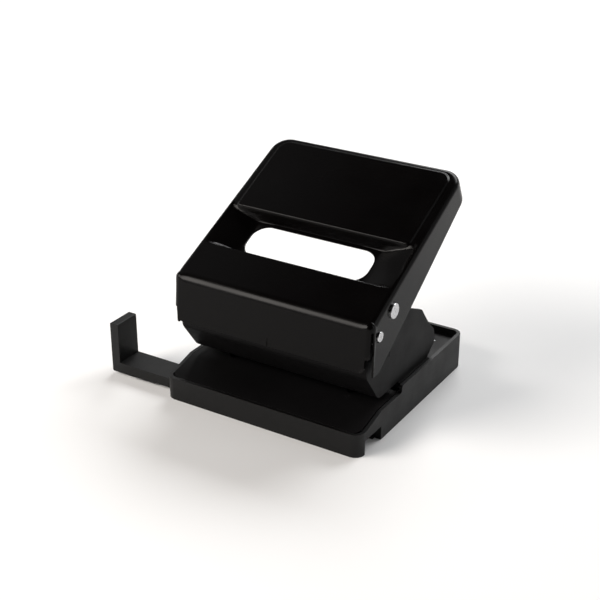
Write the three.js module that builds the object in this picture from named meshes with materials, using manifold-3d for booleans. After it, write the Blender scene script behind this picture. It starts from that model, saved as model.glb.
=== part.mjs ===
// Two-hole paper punch with a pressed-steel lever, a folded steel punch frame and a plastic base.
// Millimetres. +X is the operator's right, +Y points to the back, +Z is up.
// The origin is the centre of the base's footprint, on the surface that the punch stands on.

import * as THREE from 'three';
import { mergeVertices } from 'three/addons/utils/BufferGeometryUtils.js';
import { ConvexGeometry } from 'three/addons/geometries/ConvexGeometry.js';
import Module from 'manifold-3d';

const wasm = await Module();
wasm.setup();

// ---------------------------------------------------------------------------------------------
// Driving sizes
// ---------------------------------------------------------------------------------------------

// Clearances
const SEAT_GAP = 0.3;             // between pieces that rest on or against each other
const RUN_GAP = 0.35;             // around anything that turns or slides
const DECK_SIDE_GAP = 0.5;        // visible line between the steel deck and the rim

// Base shell
const BASE_WIDTH = 131;
const BASE_DEPTH = 129.6;
const RIM_REAR = 22.6;            // rim height behind the step
const RIM_MIDDLE = 18.6;          // rim height beside the punch slot
const RIM_FRONT = 14.35;           // height of the front wall
const SHELL_WALL = 2.2;
const SHELL_CORNER = 6;
const RIM_FLAT = 7.95;             // front face to the foot of the sloping rim
const RIM_SLOPE_END = 25.4;         // front face to the top of the sloping rim
const RIM_STEP = 48.8;              // front face to the step up to the rear rim
const RIM_STEP_RADIUS = 1.4;
const LEDGE_WIDTH = 1.7;          // shoulder that carries the deck
const LEDGE_HEIGHT = 3;
const RIB_WALL = 1.9;             // walls and ribs inside the shell

// Deck plate
const DECK_THICKNESS = 1.5;
const DECK_TOP = 18.8;
const DECK_LIP_TOP = 14.15;        // top of the drooping front edge
const DECK_KNEE = 25.1;           // front face to the bend of the deck
const DECK_CORNER = 4.2;

// Punching
const PIN_SPACING = 80;
const PIN_RADIUS = 2.75;
const PIN_BACK = 36.05;           // front face to the pins
const PIN_HEAD_RADIUS = 4.4;
const PIN_HEAD_HEIGHT = 2;
const PIN_TIP_NOTCH = 1.1;        // depth of the V ground across the cutting end
const PAPER_GAP = 4.6;            // height of the paper slot
const STOP_DISTANCE = 12;         // hole centre to the edge of the sheet
const STROKE_ANGLE = 26;          // travel of the lever, degrees

// Punch frame
const CHEEK_OUTER = 4;          // side of the base to the outer face of a cheek
const FRAME_SHEET = 1.8;
const FRAME_FRONT = 13.5;        // front face to the front wall of the frame
const CHIN_TOP = 43;            // where the front wall starts to lean back
const CHIN_BACK = 27.8;          // front face to the front edge of the jaw
const FOOT_START = 51.6;         // front face to the front end of the frame's feet
const FOOT_LENGTH = 36.4;
const FOOT_HEIGHT = 3.35;
const FOOT_WIDTH = 9.3;
const FRONT_WALL_TOP = 63.2;

// Upper pin guide
const BRIDGE_BOTTOM = 45.8;
const BRIDGE_THICKNESS = 1.8;
const BRIDGE_DEPTH = 16;
const BRIDGE_FLANGE = 5;
const BRIDGE_TAB = 7;

// Axles
const PIVOT_RADIUS = 3;
const PIVOT_BACK = 19.95;
const PIVOT_HEIGHT = 66.9;
const DRIVE_RADIUS = 4.5;
const DRIVE_ARM = 18;           // pivot to drive axle
const DRIVE_ANGLE = 29.5;         // of that arm above the horizontal at rest, degrees
const AXLE_STICK_OUT = 1.1;
const BOSS_RADIUS = 6;            // cheek metal round the pivot

// Rear edge of a cheek: back and up from the lower rear corner of its foot, and the corner radius
const CHEEK_REAR = [[9.5, 10.3, 2.5], [7.3, 18.9, 3], [0, 25.9, 5], [-9.9, 38.7, 4]];
const CHEEK_SHOULDER_BACK = 25.4; // behind the drive axle at rest
const CHEEK_SHOULDER_DROP = 1.2;  // below the pivot
const CHEEK_HORN_RISE = 1.2;      // above the pivot, behind the pressed drive axle
const CHEEK_RADII = { chin: 1.5, jaw: 2, foot: 1.5, shoulder: 6, horn: 2 };

// Lever
const LEVER_SHEET = 1.2;
const LEVER_OVERHANG = -0.3;         // side of the lever beyond the side of the base
const LEVER_TAPER = 1.9;          // each side comes in by this much at the top
const LEVER_LENGTH = 122.5;
const LEVER_SLOPE = 25.6;         // degrees, at rest
const BEND_BACK = 12.2;          // front face to the bend between plate and skirt
const BEND_HEIGHT = 74.95;
const BEND_RADIUS = 3;
const EDGE_RADIUS = 2.4;          // plate to side flanges
const LEVER_CORNER = 11.5;
const SKIRT_DROP = 27.25;
const SKIRT_LEAN = 2.65;
const SKIRT_INSET = 4.4;          // lower part of the skirt is narrower by this at each side
const SKIRT_SHOULDER = 58;        // height at which it narrows
const SKIRT_CORNER = 3;
const FLANGE_FRONT = 5.1;         // skirt face at its foot to the front edge of a side flange
const FLANGE_TIP_HEIGHT = 44.15;
const FLANGE_TIP_BACK = 20.75;    // front face to the back of the flange tip
const FLANGE_TIP_RADIUS = 1.5;
const FLANGE_DEPTH = 14.5;        // at the top of the plate, square to it

// Channel and window pressed into the lever
const CHANNEL_LOW = 28.6;
const CHANNEL_HIGH = 58.9;
const CHANNEL_HALF = 58.2;
const CHANNEL_DEPTH = 6;
const WINDOW_LOW = 31;
const WINDOW_HIGH = 55.2;
const WINDOW_HALF = 40.6;
const WINDOW_CORNER = 9.7;
const PAD_HALF = 57.5;
const PAD_LOW = 59.5;
const PAD_HIGH = 118;
const PAD_CORNER = 7;
const PAD_RISE = 1;

// Paper guide
const GUIDE_WIDTH = 17.8;
const GUIDE_BACK = 6.65;          // front face to the front edge of the guide bar
const GUIDE_TOP = 8.35;
const GUIDE_THIN_BOTTOM = 2.2;
const GUIDE_THICK_BOTTOM = 1.6;
const GUIDE_SHOULDER = 26.1;      // thick part of the bar, inwards from the fence's inner face
const FENCE_THICKNESS = 5.9;
const FENCE_HEIGHT = 34.1;
const FENCE_CHAMFER = 1;
const SHEET_HALF_WIDTH = 105;     // fence to centre line for the sheet size it is set to
const DETENT_RADIUS = 0.9;
const DETENT_SHIFTS = [-33.7, -16, 0, 20.5, 38];

// Base details
const LIP_HEIGHT = 1.2;           // lips under the guide bar
const LIP_WIDTH = 2.2;
const COVER_THICKNESS = 1.8;
const COVER_GAP = 0.5;
const COVER_CORNER = 1.5;         // front corners; the rear ones swing up inside the shell's
const COVER_RIM_HEIGHT = 5.5;
const COVER_RIM_INSET = 3.2;
const COVER_PIVOT_HEIGHT = 3;
const COVER_PIVOT_BACK = 6.25;    // rear face to the cover's pivots
const COVER_PIVOT_RADIUS = 1.4;
const LUG_X = 26;
const LUG_WIDTH = 3.4;
const SCREW_INSET = 14;           // side of the base to the screws
const SCREW_RADIUS = 1.5;
const SCREW_HEAD_RADIUS = 2.8;
const SCREW_HEAD_HEIGHT = 2;
const SCREW_BOSS_RADIUS = 4.2;
const SCREW_BOSS_BOTTOM = 9.5;
const FRONT_SCREW_BACK = 47.5;   // front face to the front screws
const REAR_SCREW_FRONT = 14;      // rear face to the rear screws
const RIVET_RADIUS = 1.7;
const RIVET_HEAD_RADIUS = 2.6;
const RIVET_HEAD_HEIGHT = 1.1;
const FRAME_RIVET_INSET = 9.2;    // side of the base to the frame's rivets
const STOP_RIVET_X = 25;
const STOP_SHEET = 1.4;
const STOP_FOOT = 10;

const ROUND = 20;                 // flats on a round piece
const CORNER_STEPS = 2;           // an arc gets twice as many flats

// ---------------------------------------------------------------------------------------------
// Positions that follow from the sizes
// ---------------------------------------------------------------------------------------------

const HALF = BASE_WIDTH / 2;
const FRONT = -BASE_DEPTH / 2;
const REAR = BASE_DEPTH / 2;
const INNER_HALF = HALF - SHELL_WALL;
const INNER_FRONT = FRONT + SHELL_WALL;
const INNER_REAR = REAR - SHELL_WALL;
const DECK_HALF = INNER_HALF - DECK_SIDE_GAP;
const DECK_BOTTOM = DECK_TOP - DECK_THICKNESS;
const JAW_BOTTOM = DECK_TOP + PAPER_GAP;
const FOOT_BOTTOM = DECK_TOP + SEAT_GAP;

const PIN_X = PIN_SPACING / 2;
const PIN_Y = FRONT + PIN_BACK;
const STOP_Y = PIN_Y + STOP_DISTANCE;
const CHEEK_X = HALF - CHEEK_OUTER;
const CHEEK_INNER_X = CHEEK_X - FRAME_SHEET;
const FOOT_Y = FRONT + FOOT_START;
const FOOT_END_Y = FOOT_Y + FOOT_LENGTH;

const PIVOT = [FRONT + PIVOT_BACK, PIVOT_HEIGHT];
const DRIVE = onArm(DRIVE_ANGLE);
const DRIVE_PRESSED = onArm(DRIVE_ANGLE - STROKE_ANGLE);
const PIN_TOP = DRIVE[1] - DRIVE_RADIUS - SEAT_GAP;
const PIN_TIP = JAW_BOTTOM + FRAME_SHEET * 0.65;
const BRIDGE_TOP = BRIDGE_BOTTOM + BRIDGE_THICKNESS;

const BEND = [FRONT + BEND_BACK, BEND_HEIGHT];
const LEVER_HALF = HALF + LEVER_OVERHANG;

const GUIDE_Y = [FRONT + GUIDE_BACK, FRONT + GUIDE_BACK + GUIDE_WIDTH];
const TUNNEL_Y = [GUIDE_Y[0] - RUN_GAP, GUIDE_Y[1] + RUN_GAP];
const TUNNEL_TOP = GUIDE_TOP + RUN_GAP;
const CROSS_WALL_Y = [TUNNEL_Y[1], TUNNEL_Y[1] + RIB_WALL];
const FENCE_X = [-SHEET_HALF_WIDTH - FENCE_THICKNESS, -SHEET_HALF_WIDTH];
const GUIDE_TRAVEL_IN = SHEET_HALF_WIDTH - HALF - 0.8;
const GUIDE_TAIL_X = HALF - SEAT_GAP - GUIDE_TRAVEL_IN;

// A point at the end of the drive arm, turned to the given angle above the horizontal.
function onArm(degrees) {
  const angle = THREE.MathUtils.degToRad(degrees);
  return [PIVOT[0] + DRIVE_ARM * Math.cos(angle), PIVOT[1] + DRIVE_ARM * Math.sin(angle)];
}

// ---------------------------------------------------------------------------------------------
// Shapes
// ---------------------------------------------------------------------------------------------

// A closed outline through corners [a, b, radius]; the radius is optional.
function outline(corners) {
  const shape = new THREE.Shape();
  const count = corners.length;
  corners.forEach(([a, b, radius = 0], i) => {
    const corner = new THREE.Vector2(a, b);
    const before = new THREE.Vector2(...corners[(i + count - 1) % count]).sub(corner).normalize();
    const after = new THREE.Vector2(...corners[(i + 1) % count]).sub(corner).normalize();
    const draw = i === 0 ? 'moveTo' : 'lineTo';
    if (radius === 0) {
      shape[draw](a, b);
      return;
    }
    const half = Math.acos(THREE.MathUtils.clamp(before.dot(after), -1, 1)) / 2;
    const reach = radius / Math.tan(half);
    const start = corner.clone().addScaledVector(before, reach);
    const end = corner.clone().addScaledVector(after, reach);
    const inward = before.clone().add(after).normalize();
    const centre = corner.clone().addScaledVector(inward, radius / Math.sin(half));
    shape[draw](start.x, start.y);
    shape.absarc(
      centre.x, centre.y, radius,
      start.clone().sub(centre).angle(), end.clone().sub(centre).angle(),
      before.cross(after) > 0,
    );
  });
  return shape;
}

// The closed outline of a bent sheet: a line through the points, thickened to its left.
function bentSheet(points, thickness) {
  const line = points.map((p) => new THREE.Vector2(...p));
  const normals = line.slice(1).map((p, i) => {
    const along = p.clone().sub(line[i]).normalize();
    return new THREE.Vector2(-along.y, along.x);
  });
  const offset = line.map((p, i) => {
    const before = normals[Math.max(i - 1, 0)];
    const after = normals[Math.min(i, normals.length - 1)];
    const middle = before.clone().add(after).normalize();
    return p.clone().addScaledVector(middle, thickness / middle.dot(after));
  });
  return outline([...line, ...offset.reverse()].map((p) => [p.x, p.y]));
}

function roundedRectangle([a0, a1], [b0, b1], radius) {
  return outline([[a0, b0, radius], [a1, b0, radius], [a1, b1, radius], [a0, b1, radius]]);
}

function circle(radius, [a, b] = [0, 0]) {
  return new THREE.Shape().absarc(a, b, radius, 0, 2 * Math.PI);
}

// Turns a closed geometry into a solid that can be cut and joined.
function solid(geometry) {
  const bare = geometry.clone();
  bare.deleteAttribute('normal');
  bare.deleteAttribute('uv');
  const merged = mergeVertices(bare, 1e-4);
  return new wasm.Manifold(new wasm.Mesh({
    numProp: 3,
    vertProperties: new Float32Array(merged.attributes.position.array),
    triVerts: new Uint32Array(merged.index.array),
  }));
}

function extrude(shape, length, matrix, options = {}) {
  const geometry = new THREE.ExtrudeGeometry(shape, {
    depth: length, bevelEnabled: false, curveSegments: CORNER_STEPS, ...options,
  });
  return solid(geometry.applyMatrix4(matrix));
}

const ALONG_Z = new THREE.Matrix4();
const ALONG_X = new THREE.Matrix4().makeBasis(
  new THREE.Vector3(0, 1, 0), new THREE.Vector3(0, 0, 1), new THREE.Vector3(1, 0, 0),
);
const ALONG_Y = new THREE.Matrix4().makeBasis(
  new THREE.Vector3(1, 0, 0), new THREE.Vector3(0, 0, 1), new THREE.Vector3(0, -1, 0),
);

// Prisms: a (y, z) outline along X, an (x, z) outline along Y, an (x, y) outline along Z.
function prismX(shape, [x0, x1], options) {
  return extrude(shape, x1 - x0, ALONG_X.clone().setPosition(x0, 0, 0), options);
}

function prismY(shape, [y0, y1], options) {
  return extrude(shape, y1 - y0, ALONG_Y.clone().setPosition(0, y1, 0), options);
}

function prismZ(shape, [z0, z1], options) {
  return extrude(shape, z1 - z0, ALONG_Z.clone().setPosition(0, 0, z0), options);
}

function block([x0, x1], [y0, y1], [z0, z1]) {
  return prismZ(outline([[x0, y0], [x1, y0], [x1, y1], [x0, y1]]), [z0, z1]);
}

function rodX(radius, centre, span) {
  return prismX(circle(radius, centre), span, { curveSegments: ROUND / 2 });
}

function rodZ(radius, centre, span) {
  return prismZ(circle(radius, centre), span, { curveSegments: ROUND / 2 });
}

// A round piece turned about the Z axis from a profile of [radius, height] points.
function turned(profile, [x, y]) {
  const points = profile.map(([radius, height]) => new THREE.Vector2(radius, height));
  const geometry = new THREE.LatheGeometry(points, ROUND);
  return solid(geometry.rotateX(Math.PI / 2).translate(x, y, 0));
}

function join(...solids) {
  return solids.reduce((whole, piece) => whole.add(piece));
}

function cut(whole, ...tools) {
  return tools.reduce((rest, tool) => rest.subtract(tool), whole);
}

// Runs a maker for the left and the right side: -1 and 1.
function bothSides(maker) {
  return [-1, 1].map(maker);
}

// An ordered pair of X limits on one side of the centre line.
function spanOn(side, near, far) {
  return side < 0 ? [-far, -near] : [near, far];
}

const part = new THREE.Group();

function addMesh(name, shape, material) {
  let geometry = shape;
  if (!shape.isBufferGeometry) {
    const mesh = shape.getMesh();
    geometry = new THREE.BufferGeometry();
    geometry.setAttribute('position', new THREE.BufferAttribute(mesh.vertProperties, 3));
    geometry.setIndex(new THREE.BufferAttribute(mesh.triVerts, 1));
    geometry.computeVertexNormals();
  }
  const mesh = new THREE.Mesh(geometry, material);
  mesh.name = name;
  part.add(mesh);
}

// ---------------------------------------------------------------------------------------------
// Materials
// ---------------------------------------------------------------------------------------------

const glossBlack = new THREE.MeshStandardMaterial({ color: 0x0c0c0d, roughness: 0.25, metalness: 0.1 });
const satinBlack = new THREE.MeshStandardMaterial({ color: 0x161617, roughness: 0.5, metalness: 0.2 });
const blackPlastic = new THREE.MeshStandardMaterial({ color: 0x1a1a1b, roughness: 0.6, metalness: 0 });
const bareSteel = new THREE.MeshStandardMaterial({ color: 0xb9bcc0, roughness: 0.3, metalness: 1 });
const springSteel = new THREE.MeshStandardMaterial({ color: 0x8d9096, roughness: 0.35, metalness: 1 });

// ---------------------------------------------------------------------------------------------
// Base: shell, deck plate, chip cover
// ---------------------------------------------------------------------------------------------

const SCREWS = bothSides((side) => [
  [side * (HALF - SCREW_INSET), FRONT + FRONT_SCREW_BACK],
  [side * (HALF - SCREW_INSET), REAR - REAR_SCREW_FRONT],
]).flat();
const FRAME_RIVETS = bothSides((side) => [
  [side * (HALF - FRAME_RIVET_INSET), FOOT_Y + FOOT_LENGTH * 0.2],
  [side * (HALF - FRAME_RIVET_INSET), FOOT_Y + FOOT_LENGTH * 0.8],
]).flat();
const STOP_RIVETS = bothSides((side) => [side * STOP_RIVET_X, STOP_Y + STOP_FOOT * 0.6]);

// Deck's upper surface as points (y, z) from the front edge to the back edge.
function deckLine(lift) {
  const front = INNER_FRONT + DECK_SIDE_GAP;
  return [
    [front, DECK_LIP_TOP + lift],
    [FRONT + DECK_KNEE, DECK_TOP + lift],
    [INNER_REAR - DECK_SIDE_GAP, DECK_TOP + lift],
  ];
}

// Everything under the deck, down to a given depth below its underside.
function underDeck(gap, depth) {
  const line = deckLine(-DECK_THICKNESS - gap);
  const [first, last] = [line[0], line[line.length - 1]];
  const long = SHELL_WALL + DECK_SIDE_GAP;
  const top = [[first[0] - long, first[1]], ...line, [last[0] + long, last[1]]];
  const bottom = top.map(([y, z]) => [y, z - depth]).reverse();
  return prismX(outline([...top, ...bottom]), [-HALF, HALF]);
}

function baseShell() {
  const outer = roundedRectangle([-HALF, HALF], [FRONT, REAR], SHELL_CORNER);
  const inner = roundedRectangle(
    [-INNER_HALF, INNER_HALF], [INNER_FRONT, INNER_REAR], SHELL_CORNER - SHELL_WALL,
  );
  const ledge = roundedRectangle(
    [-INNER_HALF + LEDGE_WIDTH, INNER_HALF - LEDGE_WIDTH],
    [INNER_FRONT + LEDGE_WIDTH, INNER_REAR - LEDGE_WIDTH],
    SHELL_CORNER - SHELL_WALL,
  );
  const wall = cut(prismZ(outer, [0, RIM_REAR]), prismZ(inner, [-1, RIM_REAR + 1]));
  const aboveRim = outline([
    [FRONT - 1, RIM_FRONT],
    [FRONT + RIM_FLAT, RIM_FRONT],
    [FRONT + RIM_SLOPE_END, RIM_MIDDLE],
    [FRONT + RIM_STEP, RIM_MIDDLE, RIM_STEP_RADIUS],
    [FRONT + RIM_STEP, RIM_REAR, RIM_STEP_RADIUS],
    [FRONT + RIM_STEP + 2 * RIM_STEP_RADIUS, RIM_REAR],
    [FRONT + RIM_STEP + 2 * RIM_STEP_RADIUS, RIM_REAR + 1],
    [FRONT - 1, RIM_REAR + 1],
  ]);
  const shoulder = cut(
    prismZ(inner, [0, RIM_REAR]).intersect(underDeck(SEAT_GAP, LEDGE_HEIGHT)),
    prismZ(ledge, [-1, RIM_REAR + 1]),
  );
  const frontRib = [TUNNEL_Y[0] - RIB_WALL, TUNNEL_Y[0]];
  const acrossX = [-INNER_HALF - 0.5, INNER_HALF + 0.5];
  const allDepth = [0, DECK_TOP];
  const crossWalls = join(
    block(acrossX, CROSS_WALL_Y, allDepth),
    block(acrossX, frontRib, allDepth),
  ).intersect(underDeck(SEAT_GAP, DECK_TOP));
  const tunnelRoof = block(acrossX, [frontRib[0], CROSS_WALL_Y[1]], [TUNNEL_TOP, TUNNEL_TOP + RIB_WALL]);
  const lipStart = -SHEET_HALF_WIDTH + GUIDE_SHOULDER + GUIDE_TRAVEL_IN + RUN_GAP;
  const lips = [TUNNEL_Y[0] - 0.5, TUNNEL_Y[1] - LIP_WIDTH].map((y) => block(
    [lipStart, INNER_HALF - RIB_WALL], [y, y + LIP_WIDTH + 0.5], [0, LIP_HEIGHT],
  ));
  const bosses = SCREWS.map(([x, y]) => join(
    rodZ(SCREW_BOSS_RADIUS, [x, y], [SCREW_BOSS_BOTTOM, DECK_BOTTOM - SEAT_GAP]),
    block(
      spanOn(Math.sign(x), Math.abs(x), INNER_HALF + 0.5),
      [y - RIB_WALL / 2, y + RIB_WALL / 2],
      [SCREW_BOSS_BOTTOM, DECK_BOTTOM - SEAT_GAP],
    ),
  ));
  const screwHoles = SCREWS.map((at) => rodZ(SCREW_RADIUS + SEAT_GAP, at, [0, DECK_TOP]));
  const lugs = bothSides((side) => block(
    spanOn(side, LUG_X - LUG_WIDTH / 2, LUG_X + LUG_WIDTH / 2),
    [REAR - COVER_PIVOT_BACK - COVER_PIVOT_RADIUS - RIB_WALL, INNER_REAR + 0.5],
    [0, COVER_PIVOT_HEIGHT + COVER_PIVOT_RADIUS + RIB_WALL],
  ));
  const lugHole = rodX(
    COVER_PIVOT_RADIUS + RUN_GAP, [REAR - COVER_PIVOT_BACK, COVER_PIVOT_HEIGHT],
    [-LUG_X - LUG_WIDTH, LUG_X + LUG_WIDTH],
  );
  const tunnel = bothSides((side) => block(
    spanOn(side, INNER_HALF - 1, HALF + 1), TUNNEL_Y, [-1, TUNNEL_TOP],
  ));
  const springPocket = block(
    [-DETENT_POCKET / 2, DETENT_POCKET / 2],
    [CROSS_WALL_Y[0] - 0.1, CROSS_WALL_Y[1] - 0.7],
    [GUIDE_THIN_BOTTOM, TUNNEL_TOP],
  );
  const body = cut(
    join(wall, shoulder, crossWalls, tunnelRoof, ...lips, ...bosses, ...lugs),
    prismX(aboveRim, [-HALF - 1, HALF + 1]),
    ...screwHoles, lugHole, ...tunnel, springPocket,
  );
  return body;
}

function deckPlate() {
  const edge = roundedRectangle(
    [-DECK_HALF, DECK_HALF],
    [INNER_FRONT + DECK_SIDE_GAP, INNER_REAR - DECK_SIDE_GAP],
    DECK_CORNER,
  );
  const sheet = prismX(bentSheet(deckLine(-DECK_THICKNESS), DECK_THICKNESS), [-HALF, HALF]);
  const through = [0, RIM_REAR + 5];
  const dieHoles = bothSides((side) => rodZ(PIN_RADIUS + SEAT_GAP, [side * PIN_X, PIN_Y], through));
  const screwHoles = SCREWS.map((at) => rodZ(SCREW_RADIUS + SEAT_GAP, at, through));
  const rivetHoles = [...FRAME_RIVETS, ...STOP_RIVETS].map(
    (at) => rodZ(RIVET_RADIUS + SEAT_GAP, at, through),
  );
  return cut(sheet.intersect(prismZ(edge, through)), ...dieHoles, ...screwHoles, ...rivetHoles);
}

function chipCover() {
  const half = INNER_HALF - COVER_GAP;
  const front = CROSS_WALL_Y[1] + COVER_GAP;
  const pivotY = REAR - COVER_PIVOT_BACK;
  const rear = pivotY + 1.1;
  const rimRear = pivotY - 3 * COVER_RIM_INSET;
  const plate = prismZ(outline([
    [-half, front, COVER_CORNER],
    [half, front, COVER_CORNER],
    [half, rear, SHELL_CORNER],
    [-half, rear, SHELL_CORNER],
  ]), [0, COVER_THICKNESS]);
  const rimX = half - COVER_RIM_INSET;
  const rimFront = front + COVER_RIM_INSET;
  const rim = cut(
    block([-rimX, rimX], [rimFront, rimRear], [COVER_THICKNESS / 2, COVER_RIM_HEIGHT]),
    block(
      [-rimX + RIB_WALL, rimX - RIB_WALL],
      [rimFront + RIB_WALL, rimRear - RIB_WALL],
      [COVER_THICKNESS / 2, COVER_RIM_HEIGHT + 1],
    ),
  );
  const earTop = COVER_PIVOT_HEIGHT + COVER_PIVOT_RADIUS;
  const lugInner = LUG_X - LUG_WIDTH / 2 - COVER_GAP;
  const lugOuter = LUG_X + LUG_WIDTH / 2 + COVER_GAP;
  const ears = bothSides((side) => join(
    block(
      spanOn(side, lugInner - 3, lugInner),
      [pivotY - COVER_PIVOT_RADIUS, pivotY + COVER_PIVOT_RADIUS * 0.7],
      [COVER_THICKNESS / 2, earTop],
    ),
    rodX(
      COVER_PIVOT_RADIUS, [pivotY, COVER_PIVOT_HEIGHT],
      spanOn(side, lugInner - 2, LUG_X + LUG_WIDTH / 2),
    ),
  ));
  const lugReach = Math.hypot(COVER_PIVOT_RADIUS + RIB_WALL, COVER_PIVOT_HEIGHT);
  const lugNotches = bothSides((side) => block(
    spanOn(side, lugInner, lugOuter),
    [pivotY - lugReach - COVER_GAP, rear + 1],
    [-1, COVER_THICKNESS],
  ));
  const fingerDip = solid(
    new THREE.SphereGeometry(14, ROUND, ROUND / 2).translate(0, front + 2, -13),
  );
  return join(cut(plate, ...lugNotches, fingerDip), rim, ...ears);
}

// ---------------------------------------------------------------------------------------------
// Punch frame, upper pin guide, paper stop
// ---------------------------------------------------------------------------------------------

function cheekOutline() {
  const notch = DRIVE_RADIUS + 2 * RUN_GAP;
  const notchBottom = DRIVE_PRESSED[1] - notch;
  const bossTop = PIVOT[1] + BOSS_RADIUS;
  const behindFoot = CHEEK_REAR.map(
    ([back, up, radius]) => [FOOT_END_Y + back, FOOT_BOTTOM + up, radius],
  );
  return outline([
    [FRONT + FRAME_FRONT, CHIN_TOP, CHEEK_RADII.chin],
    [FRONT + CHIN_BACK, JAW_BOTTOM, CHEEK_RADII.jaw],
    [FOOT_Y, JAW_BOTTOM],
    [FOOT_Y, FOOT_BOTTOM],
    [FOOT_END_Y, FOOT_BOTTOM],
    [FOOT_END_Y, FOOT_BOTTOM + FOOT_HEIGHT, CHEEK_RADII.foot],
    ...behindFoot,
    [DRIVE[0] + CHEEK_SHOULDER_BACK, PIVOT[1] - CHEEK_SHOULDER_DROP, CHEEK_RADII.shoulder],
    [DRIVE_PRESSED[0] + notch, PIVOT[1] + CHEEK_HORN_RISE, CHEEK_RADII.horn],
    [DRIVE_PRESSED[0] + notch, notchBottom, notch * 0.8],
    [DRIVE[0] - notch, notchBottom, notch * 0.8],
    [DRIVE[0] - notch, bossTop, CHEEK_RADII.horn],
    [FRONT + FRAME_FRONT, bossTop, BOSS_RADIUS],
  ]);
}

function punchFrame() {
  const jawLine = [
    [FRONT + FRAME_FRONT, FRONT_WALL_TOP],
    [FRONT + FRAME_FRONT, CHIN_TOP],
    [FRONT + CHIN_BACK, JAW_BOTTOM],
    [FOOT_Y, JAW_BOTTOM],
  ];
  const jaw = prismX(bentSheet(jawLine, FRAME_SHEET), [-CHEEK_INNER_X - 0.5, CHEEK_INNER_X + 0.5]);
  const cheeks = bothSides((side) => prismX(cheekOutline(), spanOn(side, CHEEK_INNER_X, CHEEK_X)));
  const feet = bothSides((side) => block(
    spanOn(side, DECK_HALF - FOOT_WIDTH, DECK_HALF),
    [FOOT_Y, FOOT_END_Y],
    [FOOT_BOTTOM, FOOT_BOTTOM + FOOT_HEIGHT],
  ));
  const across = [-HALF, HALF];
  const pivotHole = rodX(PIVOT_RADIUS + SEAT_GAP, PIVOT, across);
  const tabSlots = block(
    across,
    [PIN_Y - BRIDGE_TAB / 2 - SEAT_GAP, PIN_Y + BRIDGE_TAB / 2 + SEAT_GAP],
    [BRIDGE_BOTTOM - SEAT_GAP, BRIDGE_TOP + SEAT_GAP],
  );
  const pinHoles = bothSides((side) => rodZ(
    PIN_RADIUS + SEAT_GAP, [side * PIN_X, PIN_Y], [JAW_BOTTOM - 1, JAW_BOTTOM + FRAME_SHEET + 1],
  ));
  const rivetHoles = FRAME_RIVETS.map((at) => rodZ(
    RIVET_RADIUS + SEAT_GAP, at, [FOOT_BOTTOM - 1, FOOT_BOTTOM + FOOT_HEIGHT + 1],
  ));
  return cut(join(jaw, ...cheeks, ...feet), pivotHole, tabSlots, ...pinHoles, ...rivetHoles);
}

function guideBridge() {
  const halfDepth = BRIDGE_DEPTH / 2;
  const channel = outline([
    [PIN_Y - halfDepth, BRIDGE_TOP, 1],
    [PIN_Y - halfDepth, BRIDGE_TOP - BRIDGE_FLANGE],
    [PIN_Y - halfDepth + BRIDGE_THICKNESS, BRIDGE_TOP - BRIDGE_FLANGE],
    [PIN_Y - halfDepth + BRIDGE_THICKNESS, BRIDGE_BOTTOM],
    [PIN_Y + halfDepth - BRIDGE_THICKNESS, BRIDGE_BOTTOM],
    [PIN_Y + halfDepth - BRIDGE_THICKNESS, BRIDGE_TOP - BRIDGE_FLANGE],
    [PIN_Y + halfDepth, BRIDGE_TOP - BRIDGE_FLANGE],
    [PIN_Y + halfDepth, BRIDGE_TOP, 1],
  ]);
  const beamHalf = CHEEK_INNER_X - SEAT_GAP;
  const tabs = block(
    [-CHEEK_X, CHEEK_X],
    [PIN_Y - BRIDGE_TAB / 2, PIN_Y + BRIDGE_TAB / 2],
    [BRIDGE_BOTTOM, BRIDGE_TOP],
  );
  const pinHoles = bothSides((side) => rodZ(
    PIN_RADIUS + SEAT_GAP, [side * PIN_X, PIN_Y], [BRIDGE_BOTTOM - 1, BRIDGE_TOP + 1],
  ));
  return cut(join(prismX(channel, [-beamHalf, beamHalf]), tabs), ...pinHoles);
}

function paperStop() {
  const line = [
    [STOP_Y + STOP_FOOT, FOOT_BOTTOM],
    [STOP_Y, FOOT_BOTTOM],
    [STOP_Y, JAW_BOTTOM - SEAT_GAP * 2],
  ];
  const half = DECK_HALF - FOOT_WIDTH - 1;
  const holes = STOP_RIVETS.map((at) => rodZ(
    RIVET_RADIUS + SEAT_GAP, at, [DECK_TOP, DECK_TOP + 5],
  ));
  const mirrored = bentSheet([...line].reverse(), STOP_SHEET);
  return cut(prismX(mirrored, [-half, half]), ...holes);
}

// ---------------------------------------------------------------------------------------------
// Punch pins, their clips and springs
// ---------------------------------------------------------------------------------------------

const CLIP_THICKNESS = 1.2;
const CLIP_RADIUS = 5;
const GROOVE_DEPTH = 0.6;
const CLIP_TOP = BRIDGE_BOTTOM - SEAT_GAP;
const SPRING_WIRE = 0.5;
const SPRING_TURNS = 6;
const SPRING_BOTTOM = BRIDGE_TOP + SEAT_GAP;
const SPRING_TOP = PIN_TOP - PIN_HEAD_HEIGHT - SEAT_GAP;

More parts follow.
